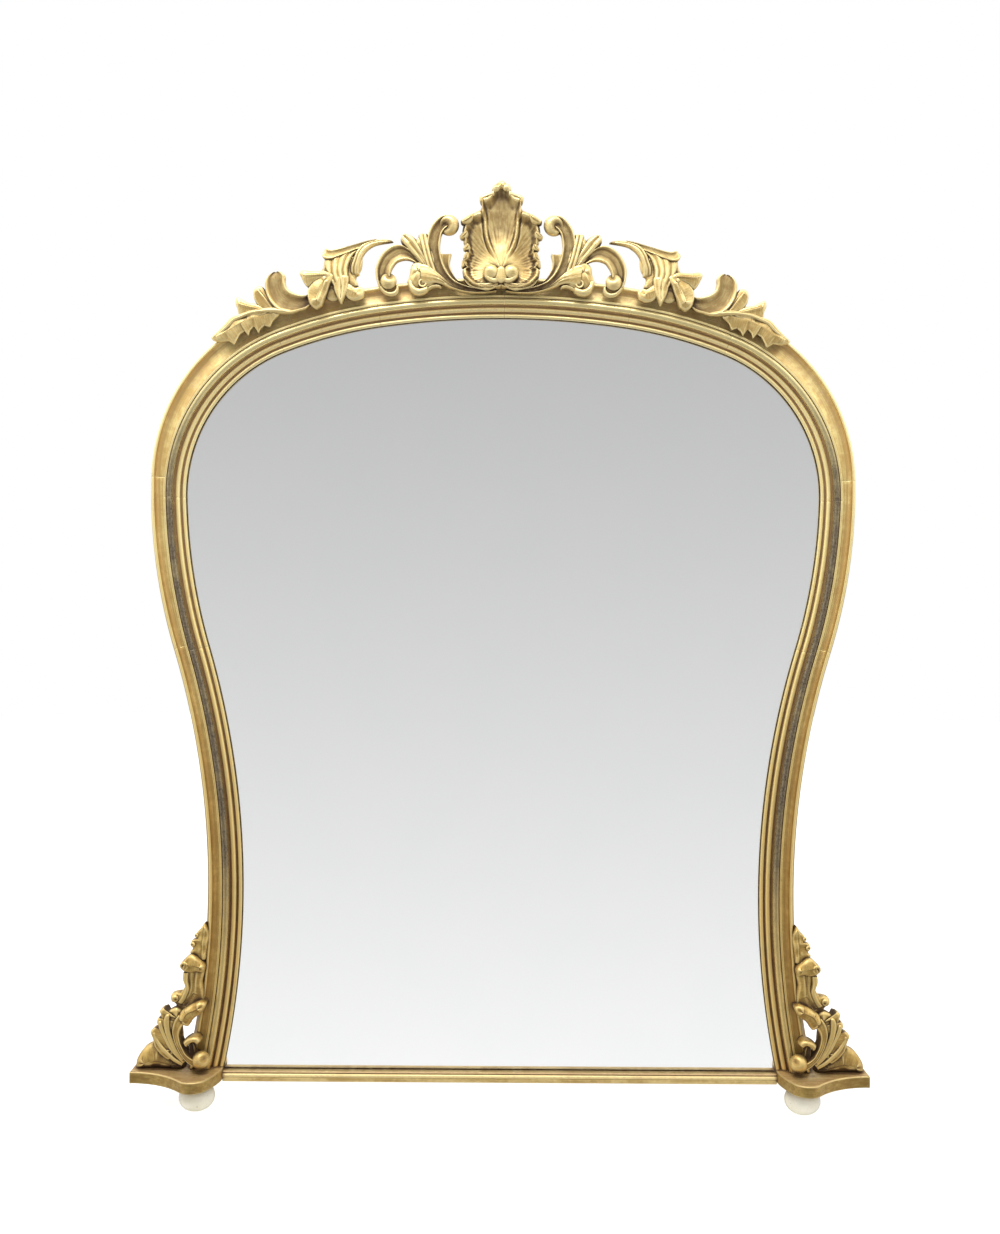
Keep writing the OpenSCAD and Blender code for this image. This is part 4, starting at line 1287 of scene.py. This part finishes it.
def shell_trim():
    """Volutes at the foot of the shell, the lips that run out from them, and the rolled
    lumps round the rim."""
    parts = []
    for s, side in zip((-1, 1), SIDES):
        def across(*points):
            return [(s * x, z) for x, z in points]
        parts.append(ball(s * 17.0, 1422, 65, 12.5, 0.9, 1.3, (s * 0.35, -0.35), 0.5))
        parts.append(ribbon(
            across((2, 1411), (12, 1407), (24, 1404), (38, 1405), (50, 1408), (60, 1416)),
            across((2, 1402), (10, 1396), (22, 1392), (38, 1394), (54, 1399), (65, 1413)),
            [66, 66, 65, 62, 60, 58], 46, 2.0, channel(1.2, 1.2), tip=(4, 5)))
        parts.append(ribbon(across((31, 1424), (27, 1411), (14, 1402), (0, 1404)),
                            across((24, 1424), (17, 1415), (8, 1413), (0, 1417)),
                            [67, 68, 68, 66], 48, 3.0, tip=(5, 0)))
        for phi, reach, length, width, h in (
                (21, 102, 17, 11, 63), (34, 102, 26, 13, 64), (47, 86, 17, 12, 62),
                (57, 70, 13, 12, 60), (69, 64, 15, 10, 60), (81, 64, 14, 10, 59),
                (95, 62, 15, 9, 58), (107, 59, 14, 9, 58)):
            parts.append(sided(fold(phi, reach, length, width, h), side))
        parts.append(lobe(across((13, 1560), (20, 1556), (30, 1554), (37, 1549), (35, 1541),
                                 (29, 1546), (20, 1549), (12, 1552)),
                          across((16, 1555), (31, 1548)), 66, dome=2.0, edge=2.5))
    parts.append(lobe([(-13, 1556), (-16, 1563), (-13, 1570), (-8, 1572), (-4, 1576.5), (3, 1577.5),
                       (7, 1573), (13, 1571), (16, 1564), (13, 1556), (6, 1559), (0, 1562), (-6, 1559)],
                      [(-9, 1564), (0, 1569), (9, 1564)], 66, dome=3.5, edge=4.0, veins=4, vein=1.2,
                      crisp=0.2))
    parts.append(lobe([(-8, 1428), (0, 1433), (8, 1428), (13, 1414), (6, 1403), (0, 1400), (-6, 1403),
                       (-13, 1414)], [(0, 1426), (0, 1409)], 68, 48, dome=4.5, edge=5.0))
    parts.append(ball(-9, 1564, 64, 6.0))
    parts.append(ball(8, 1565, 65, 6.5))
    return parts


def inner_scroll():
    """C scroll beside the shell with its knob and the small leaf inside it."""
    band = ribbon(
        [(8, 1392), (29, 1389), (54, 1389), (75, 1393), (95, 1402), (113, 1420), (123, 1440),
         (127, 1463), (126, 1479), (121, 1496), (112, 1509), (100, 1518), (88, 1519)],
        [(8, 1397), (29, 1397), (46, 1397), (62, 1401), (77, 1408), (90, 1422), (98, 1438),
         (102, 1453), (104, 1465), (103, 1477), (101, 1487), (96, 1494), (88, 1500)],
        [60, 61, 62, 62, 61, 61, 62, 64, 66], [46, 44], 0.5, channel(4.4, 2.2, 0.09, 2, 0.25),
        rings=70, across=21, tip=(0, 5))
    knob = ball(89, 1502.5, 59, 17.3, 0.85, 11.0, (0.38, -0.12), 0.52)
    leaf = ribbon([(62, 1400), (82, 1411), (94, 1426), (101, 1440), (104, 1456)],
                  [(62, 1405), (74, 1411), (83, 1424), (87, 1438), (84, 1456)],
                  [57, 58, 58, 60], 46, 1.0, channel(2.5, 1.0), tip=(0, 2))
    return [band, knob, leaf]


def crest_leaf():
    """Upright sprig between the two scrolls and the leaf that rolls over below it."""
    return [
        lobe([(166, 1487), (158, 1484), (150, 1480), (145, 1479), (140, 1484), (129, 1487),
              (117, 1462), (112, 1438), (120, 1422), (131, 1430), (146, 1446), (160, 1463)],
             [(124, 1436), (142, 1466)], 58, dome=3.5, edge=4.0, groove=1.0, veins=3),
        ribbon([(126, 1424), (141, 1442), (154, 1454), (165, 1467), (171, 1477), (170, 1485)],
               [(113, 1424), (124, 1446), (133, 1462), (143, 1477), (153, 1486), (165, 1489)],
               [58, 58, 60, 62, 60], 45, 2.5, fluted(2, 2.6, 1.5), tip=(0, 3)),
        ribbon([(122, 1418), (132, 1448), (138, 1470), (141, 1482), (140, 1489)],
               [(104, 1412), (116, 1448), (121, 1470), (123, 1482), (126, 1490)],
               [60, 62, 62, 60], 46, 2.5, fluted(2, 2.2, 1.0), tip=(0, 2)),
        ribbon([(62, 1397), (78, 1400), (90, 1408), (104, 1420), (116, 1430), (126, 1437), (138, 1439)],
               [(62, 1393), (75, 1393), (88, 1397), (101, 1402), (114, 1403), (124, 1400), (134, 1402)],
               [57, 59, 61, 62, 61], 45, 3.5, fluted(4, 1.2)),
        lobe([(118, 1428), (127, 1437), (137, 1441), (147, 1440), (153, 1433), (155, 1421), (158, 1408),
              (154, 1397), (144, 1392), (132, 1394), (122, 1398), (112, 1402), (104, 1406), (108, 1418)],
             [(114, 1413), (128, 1420), (141, 1425)], 59, dome=4.0, edge=4.5, veins=5, vein=1.4,
             groove=1.2),
        ribbon([(160, 1413), (158, 1400), (152, 1389), (142, 1384), (131, 1386), (121, 1393)],
               [(149, 1410), (148, 1403), (144, 1398), (138, 1396), (131, 1398), (124, 1403)],
               [60, 62, 62, 59], 44, 2.5, edge=5, tip=(4, 5)),
        ball(133, 1404, 61, 7.5, 0.6, 7.0, (0, 0), 0.6),
        ribbon([(100, 1402), (113, 1403), (124, 1400), (131, 1393)],
               [(100, 1397), (112, 1398), (121, 1394), (127, 1387)],
               [58, 59, 58, 56], 44, 1.5, tip=(4, 5)),
    ]


def outer_scroll():
    """Lower C scroll: hollowed band with a heavy outer lip, a ball and the lip under it."""
    def section(s, t):
        return (3.0 * bump(s, 0.08, 0.1) - 3.6 * np.sin(np.pi * np.clip(s, 0, 1)) ** 1.1
                + 1.2 * bump(s, 0.95, 0.08) + 0.35 * np.cos(16 * s))
    band = ribbon(
        [(116, 1428), (128, 1437), (137, 1444), (149, 1456), (160, 1464), (170, 1469), (180, 1469),
         (189, 1465), (198, 1458), (205, 1449), (210, 1439), (213, 1429), (213, 1419), (211, 1408),
         (207, 1399)],
        [(120, 1414), (128, 1424), (136, 1432), (145, 1439), (153, 1443), (161, 1444.5),
         (169, 1443.5), (177, 1440), (182, 1434), (186, 1427), (188, 1420), (188, 1413), (188, 1406)],
        [55, 57, 60, 61, 61, 60, 58], 44, 0.0, section, rings=64, across=21)
    knob = ball(191.5, 1408, 55, 14.2, 0.8, 6.0, (-0.2, 0.6), 0.5)
    under = ribbon([(211, 1408), (208, 1398), (202, 1390), (195, 1385), (186, 1383.5), (178, 1386),
                    (173, 1393), (174, 1402)],
                   [(203, 1408), (201, 1400), (197, 1395), (192, 1392), (187, 1391.5), (182, 1394),
                    (180, 1398), (180, 1404)],
                   [56, 56, 55, 54, 54], 44, 2.0, edge=3, tip=(0, 4))
    return [band, knob, under]


class MIRROR_OT_crest(bpy.types.Operator):
    """Shell, C scrolls, sprigs and lower scrolls over the arch"""
    bl_idname = "pier_mirror.crest"
    bl_label = "Crest"

    def execute(self, context):
        shift = -settings("carving").crest_shift
        make_carved("crest_shell", [shell_piece()] + shell_trim(), shift)
        carve_pairs({"crest_inner_scroll": inner_scroll, "crest_leaf": crest_leaf,
                     "crest_outer_scroll": outer_scroll}, shift)
        return {"FINISHED"}


# ---------------------------------------------------------------- sprays

def upper_spray():
    """Horn, its open lip, the fluted body and the lobes that hang from it."""
    def mouth(s, t):
        return 1.6 * bump(s, 0.06, 0.12) - 1.1 * np.sin(np.pi * s) ** 1.2 + 1.0 * bump(s, 0.95, 0.1)
    return [
        ribbon([(184, 1478), (192, 1480.5), (204, 1481), (222, 1477), (238, 1469), (246, 1458),
                (251, 1445), (256, 1430), (256, 1419)],
               [(184, 1476), (192, 1474.5), (203, 1472.5), (217, 1468.5), (229, 1459), (236, 1448),
                (240, 1436), (241, 1425), (241, 1417)],
               [52, 54, 57, 60, 61, 60, 57], 45, 1.5, midrib(1.2, 0.12, 0.42), tip=(4, 3), rings=48),
        ribbon([(210, 1480.5), (226, 1476.5), (241, 1471.5), (258, 1466), (275, 1461), (286, 1459),
                (292, 1460), (297, 1464)],
               [(222, 1466), (236, 1464), (247, 1460), (261, 1454), (278, 1447), (291, 1443.5),
                (301, 1446), (306, 1455)],
               [57, 60, 62, 64, 64, 62], 45, 0.0, mouth, rings=48, across=19, tip=(3, 5)),
        ribbon([(236, 1462), (248, 1452), (258, 1432), (258, 1408), (260, 1388), (266, 1376)],
               [(299, 1450), (301, 1440), (299, 1428), (294, 1412), (283, 1394), (275, 1376)],
               [57, 59, 61, 62, 61, 60], 45, 4.5, fluted(4, 1.8), tip=(0, 3), rings=40, across=25),
        lobe([(238, 1466), (262, 1461), (284, 1450), (300, 1442), (305, 1428), (320, 1420), (318, 1408),
              (303, 1398), (293, 1391), (281, 1398), (268, 1388), (256, 1392), (243, 1400),
              (247, 1413), (238, 1430), (236, 1448)],
             [(256, 1448), (274, 1428), (284, 1410)], 55, dome=3.0, edge=5, veins=6, vein=1.2,
             around=120),
        lobe([(256, 1402), (280, 1412), (303, 1408), (306, 1394), (299, 1380), (288, 1375), (277, 1377),
              (267, 1384)], [(272, 1396), (294, 1394)], 55, dome=3.0, edge=4.0, groove=1.0),
        lobe([(259, 1416), (259, 1400), (264, 1382), (271, 1369), (278, 1380), (284, 1396),
              (281, 1414)], [(270, 1410), (271, 1378)], 62, dome=3.5, groove=1.5),
        lobe([(266, 1408), (255, 1402), (247, 1397), (238, 1398), (232, 1391), (234, 1381),
              (243, 1375.5), (255, 1376), (264, 1382), (268, 1395)],
             [(245, 1387), (262, 1393)], 60, dome=2.0, edge=4.0, veins=3, vein=1.0),
        lobe([(284, 1417), (290, 1398), (297, 1380), (305, 1364), (313, 1360), (322, 1365),
              (327, 1377), (326, 1394), (315, 1409), (300, 1421)],
             [(299, 1405), (312, 1374)], 64, dome=5.0, veins=5, vein=1.6, groove=1.2),
        lobe([(288, 1417), (297, 1423), (310, 1423), (324, 1422.5), (335, 1424), (341, 1420),
              (338, 1411), (333, 1402), (326, 1396), (317, 1403), (305, 1408), (293, 1408)],
             [(297, 1416), (331, 1414)], 65, dome=3.5, groove=-1.5),
    ]


def lower_spray():
    """Stem that curls up, the two lobes beyond it and the serrated leaf down the shoulder."""
    tail = [(372, 1360), (388, 1361), (403, 1359), (425, 1355), (440, 1351), (450, 1349), (458, 1345),
            (469, 1333), (482, 1320), (493, 1311), (490, 1307), (478, 1304), (463, 1306),
            (453, 1300), (448, 1309), (443, 1318), (436, 1322), (429, 1315), (426, 1324),
            (420, 1330), (412, 1320), (408, 1327), (402, 1332), (393, 1330), (388, 1340), (378, 1350)]
    return [
        ribbon([(322, 1388), (332, 1383), (343, 1384), (355, 1388), (363, 1395), (366, 1404),
                (366, 1414), (370, 1426)],
               [(322, 1368), (330, 1361), (343, 1356), (358, 1352), (376, 1356), (390, 1369),
                (398, 1385), (400, 1403), (396, 1421)],
               [58, 60, 61, 62, 63, 65], 45, 0.0, channel(4.4, 2.6, 0.09, 2, 0.4), rings=64,
               across=25, tip=(2, 16)),
        lobe([(378, 1357), (388, 1370), (394, 1383), (400, 1392), (407, 1398), (414, 1398),
              (420, 1391), (420, 1380), (414, 1367), (404, 1358), (390, 1351)],
             [(388, 1361), (411, 1390)], 58, dome=3.0, groove=-1.2, veins=3),
        lobe([(390, 1357), (402, 1362), (415, 1368), (431, 1370.5), (440, 1376), (449, 1379),
              (451, 1371), (447, 1358), (444, 1347), (425, 1347), (405, 1348)],
             [(398, 1356), (442, 1367)], 58, dome=2.5, groove=-1.2, veins=3),
        lobe(tail, [(386, 1353), (430, 1342), (482, 1311)], 54, dome=4.5, edge=2.2, veins=9,
             vein=1.8, crisp=0.75, around=150),
        ribbon([(352, 1358), (372, 1361), (390, 1362), (408, 1360), (426, 1357), (443, 1351),
                (457, 1346), (470, 1333), (483, 1320), (492, 1312)],
               [(352, 1353), (370, 1352), (388, 1353), (408, 1352), (425, 1349), (440, 1343),
                (452, 1337), (464, 1325), (478, 1314), (490, 1309)],
               [59, 61, 61, 60, 59, 58, 57, 55], 46, 2.0, midrib(0.8, 0.15, 0.35), tip=(3, 4),
               rings=48),
    ]


class MIRROR_OT_sprays(bpy.types.Operator):
    """Leaf sprays over the shoulders"""
    bl_idname = "pier_mirror.sprays"
    bl_label = "Leaf sprays"

    def execute(self, context):
        carve_pairs({"spray_upper": upper_spray, "spray_lower": lower_spray},
                    -settings("carving").crest_shift)
        return {"FINISHED"}


# ---------------------------------------------------------------- carving beside the legs

def seen_band(left, right, height, *rest, **more):
    """A ribbon whose two edges were drawn as the eye sees them at a height."""
    return ribbon(nearer(left, height), nearer(right, height), *rest, **more)


def side_leaf():
    """Leaf that climbs the outside of the leg, with lobes outside and a folded collar."""
    top = [(506, 313), (499, 300), (499, 284), (502, 268), (504, 250), (516, 246), (527, 256),
           (531, 263), (526, 269), (530, 275), (528, 283), (519, 287), (520, 296), (513, 303)]
    collar = [(506, 231), (503, 241), (512, 253), (526, 261), (537, 254), (545, 243), (541, 234),
              (530, 230), (518, 232)]
    mid = [(505, 236), (537, 236), (542, 222), (538, 206), (546, 195), (554, 195), (561, 192),
           (563, 184), (555, 176), (548, 166), (524, 162), (507, 172), (506, 195), (508, 214)]
    return [
        lobe(top, [(511, 252), (510, 278), (507, 306)], 45, 27, 3.5, 4.0, 7, 2.0, 1.5, crisp=0.55,
             around=110),
        ball(525, 277, 45, 4.6, 1.0, 2.0, (0.2, 0), 0.4),
        ball(519, 292, 44, 3.8, 1.0, 1.5, (0.2, 0), 0.4),
        lobe(mid, [(521, 230), (524, 195), (534, 174)], 48, 26, 3.5, 5.0, 4, 2.6, 3.2, crisp=0.4,
             around=120),
        ribbon([(540, 232), (541, 220), (537, 205), (542, 192), (552, 178)],
               [(530, 232), (531, 218), (529, 203), (533, 188), (541, 173)],
               [52, 53, 53, 52, 50], 30, 2.0, tip=(2, 4)),
        lobe(collar, [(512, 241), (536, 245)], 54, 28, 4.5, 5.0, 5, 1.8, around=96),
        ball(537, 243, 55, 7.5, 0.75, 6.5, (0.05, -0.1), 0.55),
        ball(554, 186, 49, 7.0, 0.9, 2.5, (-0.3, -0.2), 0.45),
    ]


def side_scroll():
    """Pierced scroll at the foot of the leg: folded collar, fan of lobed leaves, C stem,
    hook and the knob at its foot."""
    collar = [(503, 176), (512, 180), (522, 177), (534, 171), (546, 160), (549, 150), (541, 140),
              (533, 137), (528, 144), (521, 152), (512, 158), (506, 165)]
    fan = [(541, 163), (552, 170), (563, 165), (569, 160), (575, 169), (581, 164), (578, 151),
           (584, 151), (586, 143), (580, 134), (591, 134), (597, 128), (593, 117), (589, 102),
           (580, 90), (566, 80), (552, 90), (545, 112), (547, 135)]
    return [
        lobe(nearer(fan, 56), nearer([(549, 152), (553, 128), (560, 98)], 56), 55, 28, 3.5, 4.0, 8,
             2.6, 1.5, crisp=0.55, around=150),
        seen_band([(570, 160), (574, 148), (572, 130), (563, 108), (553, 92), (540, 78)],
                  [(563, 161), (563, 148), (561, 132), (553, 114), (545, 100), (532, 86)], 60,
                  [58, 59, 60, 62, 62], 34, 2.5, edge=2.5, tip=(4, 2)),
        seen_band([(584, 148), (582, 134), (574, 118), (565, 102), (553, 88), (538, 74)],
                  [(577, 150), (573, 137), (566, 122), (558, 108), (547, 95), (530, 82)], 58,
                  [56, 57, 59, 60, 60], 34, 2.2, edge=2.5, tip=(4, 2)),
        seen_band([(595, 130), (590, 116), (581, 101), (570, 90), (556, 79), (540, 70)],
                  [(587, 131), (582, 118), (575, 108), (564, 97), (552, 87), (536, 78)], 56,
                  [54, 55, 57, 58, 58], 34, 2.2, edge=2.5, tip=(4, 2)),
        seen_band([(548, 158), (556, 146), (559, 132), (556, 116), (549, 100), (540, 86),
                   (528, 74), (514, 66)],
                  [(534, 145), (543, 136), (547, 125), (545, 112), (540, 101), (534, 91),
                   (525, 84), (512, 80)], 64,
                  [60, 63, 65, 67, 68, 68, 66], 34, 1.0, channel(1.8, 1.6, 0.13), edge=4.5,
                  rings=64, across=21, tip=(2, 3)),
        seen_band([(541, 112), (533, 119), (524, 122), (515, 121), (510, 115), (513, 108)],
                  [(534, 102), (529, 108), (525, 111), (521, 111), (519, 109), (520, 106)], 62,
                  [64, 65, 66, 65, 63], 38, 2.5, edge=4.5, tip=(2, 5)),
        seen_band([(533, 117), (531, 104), (531, 92), (527, 82), (518, 76)],
                  [(524, 112), (521, 102), (520, 95), (517, 90), (511, 88)], 58,
                  [58, 56, 55, 56], 36, 0.5, channel(3.0, 1.2), tip=(2, 2)),
        ball(507, 84, 58, 15.5, 0.95, 4.0, (-0.5, 0.4), 0.4),
        lobe(nearer(collar, 62), nearer([(516, 168), (534, 160), (540, 148)], 62), 61, 30, 5.0, 5.0, 6,
             2.0, around=110),
    ]


def mound_leaf():
    """Low leaf like a mound on the outer end of the plinth."""
    outline = [(541, 63.2), (548, 72), (558, 83), (571, 94), (585, 102), (598, 103), (609, 97),
               (618, 86), (624, 74), (624, 63.2), (600, 62.6), (570, 62.6)]
    return [lobe(outline, [(562, 70), (588, 76), (608, 72)], 37, 12.5, 8.0, 6.0, 9, 1.4, 0.8,
                 crisp=0.2, around=120)]


class MIRROR_OT_side_carving(bpy.types.Operator):
    """Leaves and scrolls beside the legs, and the mounds on the plinths"""
    bl_idname = "pier_mirror.side_carving"
    bl_label = "Side carving"

    def execute(self, context):
        carve_pairs({"side_leaf": side_leaf, "side_scroll": side_scroll, "mound_leaf": mound_leaf})
        return {"FINISHED"}


# ---------------------------------------------------------------- plate and back

def silver_piece():
    """Silvering: rings of the arched outline, drawn in towards the middle of the plate by
    equal shares. Its face lies a hair behind the glass, so that the two never coincide."""
    x, z = np.vstack([arc_line(arc, 40, SILVER_LAP) for arc in SIGHT]).T
    keep = np.append(np.hypot(np.diff(x), np.diff(z)) > 1e-6, True) & (z > SILVER_FOOT)
    x, z = x[keep], z[keep]
    x, z = np.append(x, x[-1] + 0.2), np.append(z, SILVER_FOOT)
    x, z = np.concatenate([x, -x[::-1]]), np.concatenate([z, z[::-1]])
    x, z = np.delete(x, len(x) - 1), np.delete(z, len(z) - 1)
    share = np.concatenate([[0.4, 1.0, 1.0], np.linspace(0.97, 0.05, 14)])[:, None]
    h = np.full((len(share), 1), SILVER_FRONT)
    h[:2] = SILVER_BACK
    return tube(place(x * share, SILVER_MIDDLE_Z + (z - SILVER_MIDDLE_Z) * share, h))


class MIRROR_OT_plate(bpy.types.Operator):
    """Glass plate and its silvering"""
    bl_idname = "pier_mirror.plate"
    bl_label = "Mirror plate"

    def execute(self, context):
        dress("mirror_glass", glass_material())
        make_piece("silvering_film", [silver_piece()], silver_material(),
                   ["silvering"])
        return {"FINISHED"}


class MIRROR_OT_back(bpy.types.Operator):
    """Boards, blocks, dowels, strap, hangers, pads and screws"""
    bl_idname = "pier_mirror.back"
    bl_label = "Back and fixings"

    def execute(self, context):
        blocks = wood_material("pine_blocks", (0.45, 0.29, 0.15), (0.22, 0.12, 0.05), 1.6)
        dowels = wood_material("birch_dowels", (0.55, 0.42, 0.26), (0.36, 0.24, 0.13), 2.0)
        steel = metal_material("steel_screws", (0.42, 0.42, 0.43), (0.16, 0.13, 0.11), 0.5)
        brass = metal_material("brass_screws", (0.62, 0.45, 0.2), (0.25, 0.15, 0.06), 0.45)
        hanger = metal_material("hanger_brass", (0.66, 0.47, 0.2), (0.26, 0.16, 0.06), 0.4)
        iron = metal_material("forged_iron", (0.09, 0.085, 0.085), (0.055, 0.035, 0.026), 0.6, 0.7)
        for k, shade in ((1, 1.0), (2, 0.86), (3, 1.06), (4, 0.93)):
            light = tuple(v * shade for v in (0.37, 0.225, 0.11))
            board = wood_material("pine_board_" + str(k), light, (0.16, 0.085, 0.035), 1.0,
                                  (0.7 * k, 0.3 * k, 0.45 * k))
            dress("backboard_" + str(k), board)
        dress("glazing_blocks", blocks)
        dress("dowels", dowels)
        for name in ("board_screws", "plinth_screws", "foot_screws", "strap_screws"):
            dress(name, steel)
        dress("hanger_screws", brass)
        for side in SIDES:
            dress("hanger_plate_" + side, hanger)
            dress("hanger_ring_" + side, hanger)
        dress("crest_strap", iron)
        dress("wall_pads", cork_material())
        return {"FINISHED"}


# ---------------------------------------------------------------- stage

def floor_material():
    """Pale floor: white to the camera, darker only in a shadow, and a little lit itself."""
    material, shader, spot = new_material("stage_floor")
    tree = spot.tree
    fill(tree, shader, {"Specular IOR Level": 0.1})
    paint(shader, mix_colour(noise(spot, 90, 3, 0.5), (0.93, 0.93, 0.93), (0.9, 0.9, 0.9)), 0.9)
    seen = made_by(tree, "LightPath", "Is Camera Ray")
    glow = add_node(tree, "Emission", Strength=seen * 0.35 + 0.3)
    both = fill(tree, add_node(tree, "AddShader"), {0: shader.outputs[0], 1: glow.outputs[0]})
    output = next(node for node in tree.nodes if node.type == "OUTPUT_MATERIAL")
    fill(tree, output, {"Surface": both.outputs[0]})
    return material


def room_world():
    """White to the camera. Through the glass, a grey room: display grey = level - slope times
    the ray's rise, never above white. Gloss gets a soft room that is bright above and at the
    flanks, and diffuse light a plain grey."""
    s = settings("plate")
    world = bpy.data.worlds.new("soft_room")
    bpy.context.scene.world = world
    world.use_nodes = True
    tree = world.node_tree
    tree.nodes.clear()
    way = made_by(tree, "TexCoord", "Generated")
    side, depth, up = (axis(way, name) for name in "XYZ")
    rise = calc("DIVIDE", up, calc("MAXIMUM", calc("ABSOLUTE", depth), 0.05))
    grey = calc("MINIMUM", calc("MAXIMUM", s.level - rise * s.slope, 0.5), 1.0)
    room = calc("POWER", grey, DISPLAY_GAMMA)
    flank = step(calc("ABSOLUTE", side), 0.35, 0.9, 0.0, 0.55)
    soft = step(up, -0.15, 0.75, 0.22, 1.5) + flank
    colour = mix_colour(made_by(tree, "LightPath", "Is Diffuse Ray"), soft, (0.5, 0.5, 0.5))
    colour = mix_colour(made_by(tree, "LightPath", "Is Transmission Ray"), colour, room)
    colour = mix_colour(made_by(tree, "LightPath", "Is Camera Ray"), colour, (1.0, 1.0, 1.0))
    back = add_node(tree, "Background", Color=colour)
    add_node(tree, "OutputWorld", Surface=back.outputs[0])


def soft_box(name, spot, aim, width, height, power):
    """A rectangular lamp that the plate doesn't mirror."""
    lamp = bpy.data.lights.new(name, "AREA")
    lamp.shape = "RECTANGLE"
    lamp.size = width
    lamp.size_y = height
    lamp.energy = power
    item = bpy.data.objects.new(name, lamp)
    item.location = spot
    item.rotation_euler = (Vector(aim) - Vector(spot)).to_track_quat("-Z", "Y").to_euler()
    item.visible_transmission = False
    item.visible_camera = False
    bpy.context.scene.collection.objects.link(item)
    return item


class MIRROR_OT_stage(bpy.types.Operator):
    """Pale floor, soft lamps and the camera"""
    bl_idname = "pier_mirror.stage"
    bl_label = "Stage"

    def execute(self, context):
        s = settings("stage")
        scene = context.scene
        t = full_turn(96)[None, :]
        r = np.linspace(0.2, FLOOR_RADIUS, 24)[:, None]
        x, y = r * np.cos(t), r * np.sin(t) - 0.5
        idx = np.arange(x.size).reshape(x.shape)
        quads = np.stack([idx[:-1], idx[1:], np.roll(idx[1:], -1, 1), np.roll(idx[:-1], -1, 1)], -1)
        mesh = bpy.data.meshes.new("stage_floor")
        mesh.from_pydata(np.stack([x, y, np.zeros_like(x)], -1).reshape(-1, 3), [],
                         quads.reshape(-1, 4).tolist() + [idx[0].tolist()])
        mesh.materials.append(floor_material())
        floor = bpy.data.objects.new("stage_floor", mesh)
        floor.visible_transmission = False
        floor.visible_glossy = False
        scene.collection.objects.link(floor)
        room_world()
        soft_box("key_box", (-0.5, -1.4, 3.2), (0, 0, 1.0), 2.2, 1.0, s.key)
        fill = soft_box("fill_box", (0.8, -3.4, 3.2), (0, 0, 0.7), 2.0, 1.0, s.fill)
        back = soft_box("back_box", (0.0, 2.6, 2.4), (0, 0, 0.8), 2.4, 1.2, s.fill)
        fill.visible_glossy = False
        back.visible_glossy = False
        data = bpy.data.cameras.new("camera")
        data.sensor_fit = "VERTICAL"
        data.sensor_height = 36.0
        data.lens = s.lens
        data.clip_start = 0.05
        data.clip_end = 60
        camera = bpy.data.objects.new("camera", data)
        camera.location = (s.aside, BACK_Y * MM - s.distance, s.eye)
        camera.rotation_euler = Euler((math.radians(90), s.roll, 0), "XYZ")
        scene.collection.objects.link(camera)
        scene.camera = camera
        scene.view_settings.view_transform = "Standard"
        return {"FINISHED"}


class MIRROR_PT_panel(bpy.types.Panel):
    """Lists the sizes and colours and builds the pieces"""
    bl_label = "Pier mirror"
    bl_idname = "MIRROR_PT_panel"
    bl_space_type = "VIEW_3D"
    bl_region_type = "UI"
    bl_category = "Pier mirror"

    def draw(self, context):
        for name, group in GROUPS.items():
            box = self.layout.box()
            box.label(text=group.__name__)
            for key in group.__annotations__:
                box.prop(settings(name), key)
        for operator in OPERATORS:
            self.layout.operator(operator.bl_idname)


OPERATORS = (
    MIRROR_OT_stage,
    MIRROR_OT_mouldings,
    MIRROR_OT_base,
    MIRROR_OT_crest,
    MIRROR_OT_sprays,
    MIRROR_OT_side_carving,
    MIRROR_OT_plate,
    MIRROR_OT_back,
)


def register():
    for group in GROUPS.values():
        bpy.utils.register_class(group)
    for name, group in GROUPS.items():
        setattr(bpy.types.Scene, "pier_mirror_" + name, bpy.props.PointerProperty(type=group))
    for operator in OPERATORS:
        bpy.utils.register_class(operator)
    bpy.utils.register_class(MIRROR_PT_panel)


def unregister():
    bpy.utils.unregister_class(MIRROR_PT_panel)
    for operator in reversed(OPERATORS):
        bpy.utils.unregister_class(operator)
    for name in GROUPS:
        delattr(bpy.types.Scene, "pier_mirror_" + name)
    for group in reversed(list(GROUPS.values())):
        bpy.utils.unregister_class(group)


def main():
    register()
    bpy.ops.pier_mirror.stage()
    bpy.ops.pier_mirror.mouldings()
    bpy.ops.pier_mirror.base()
    bpy.ops.pier_mirror.crest()
    bpy.ops.pier_mirror.sprays()
    bpy.ops.pier_mirror.side_carving()
    bpy.ops.pier_mirror.plate()
    bpy.ops.pier_mirror.back()


if __name__ == "__main__":
    main()
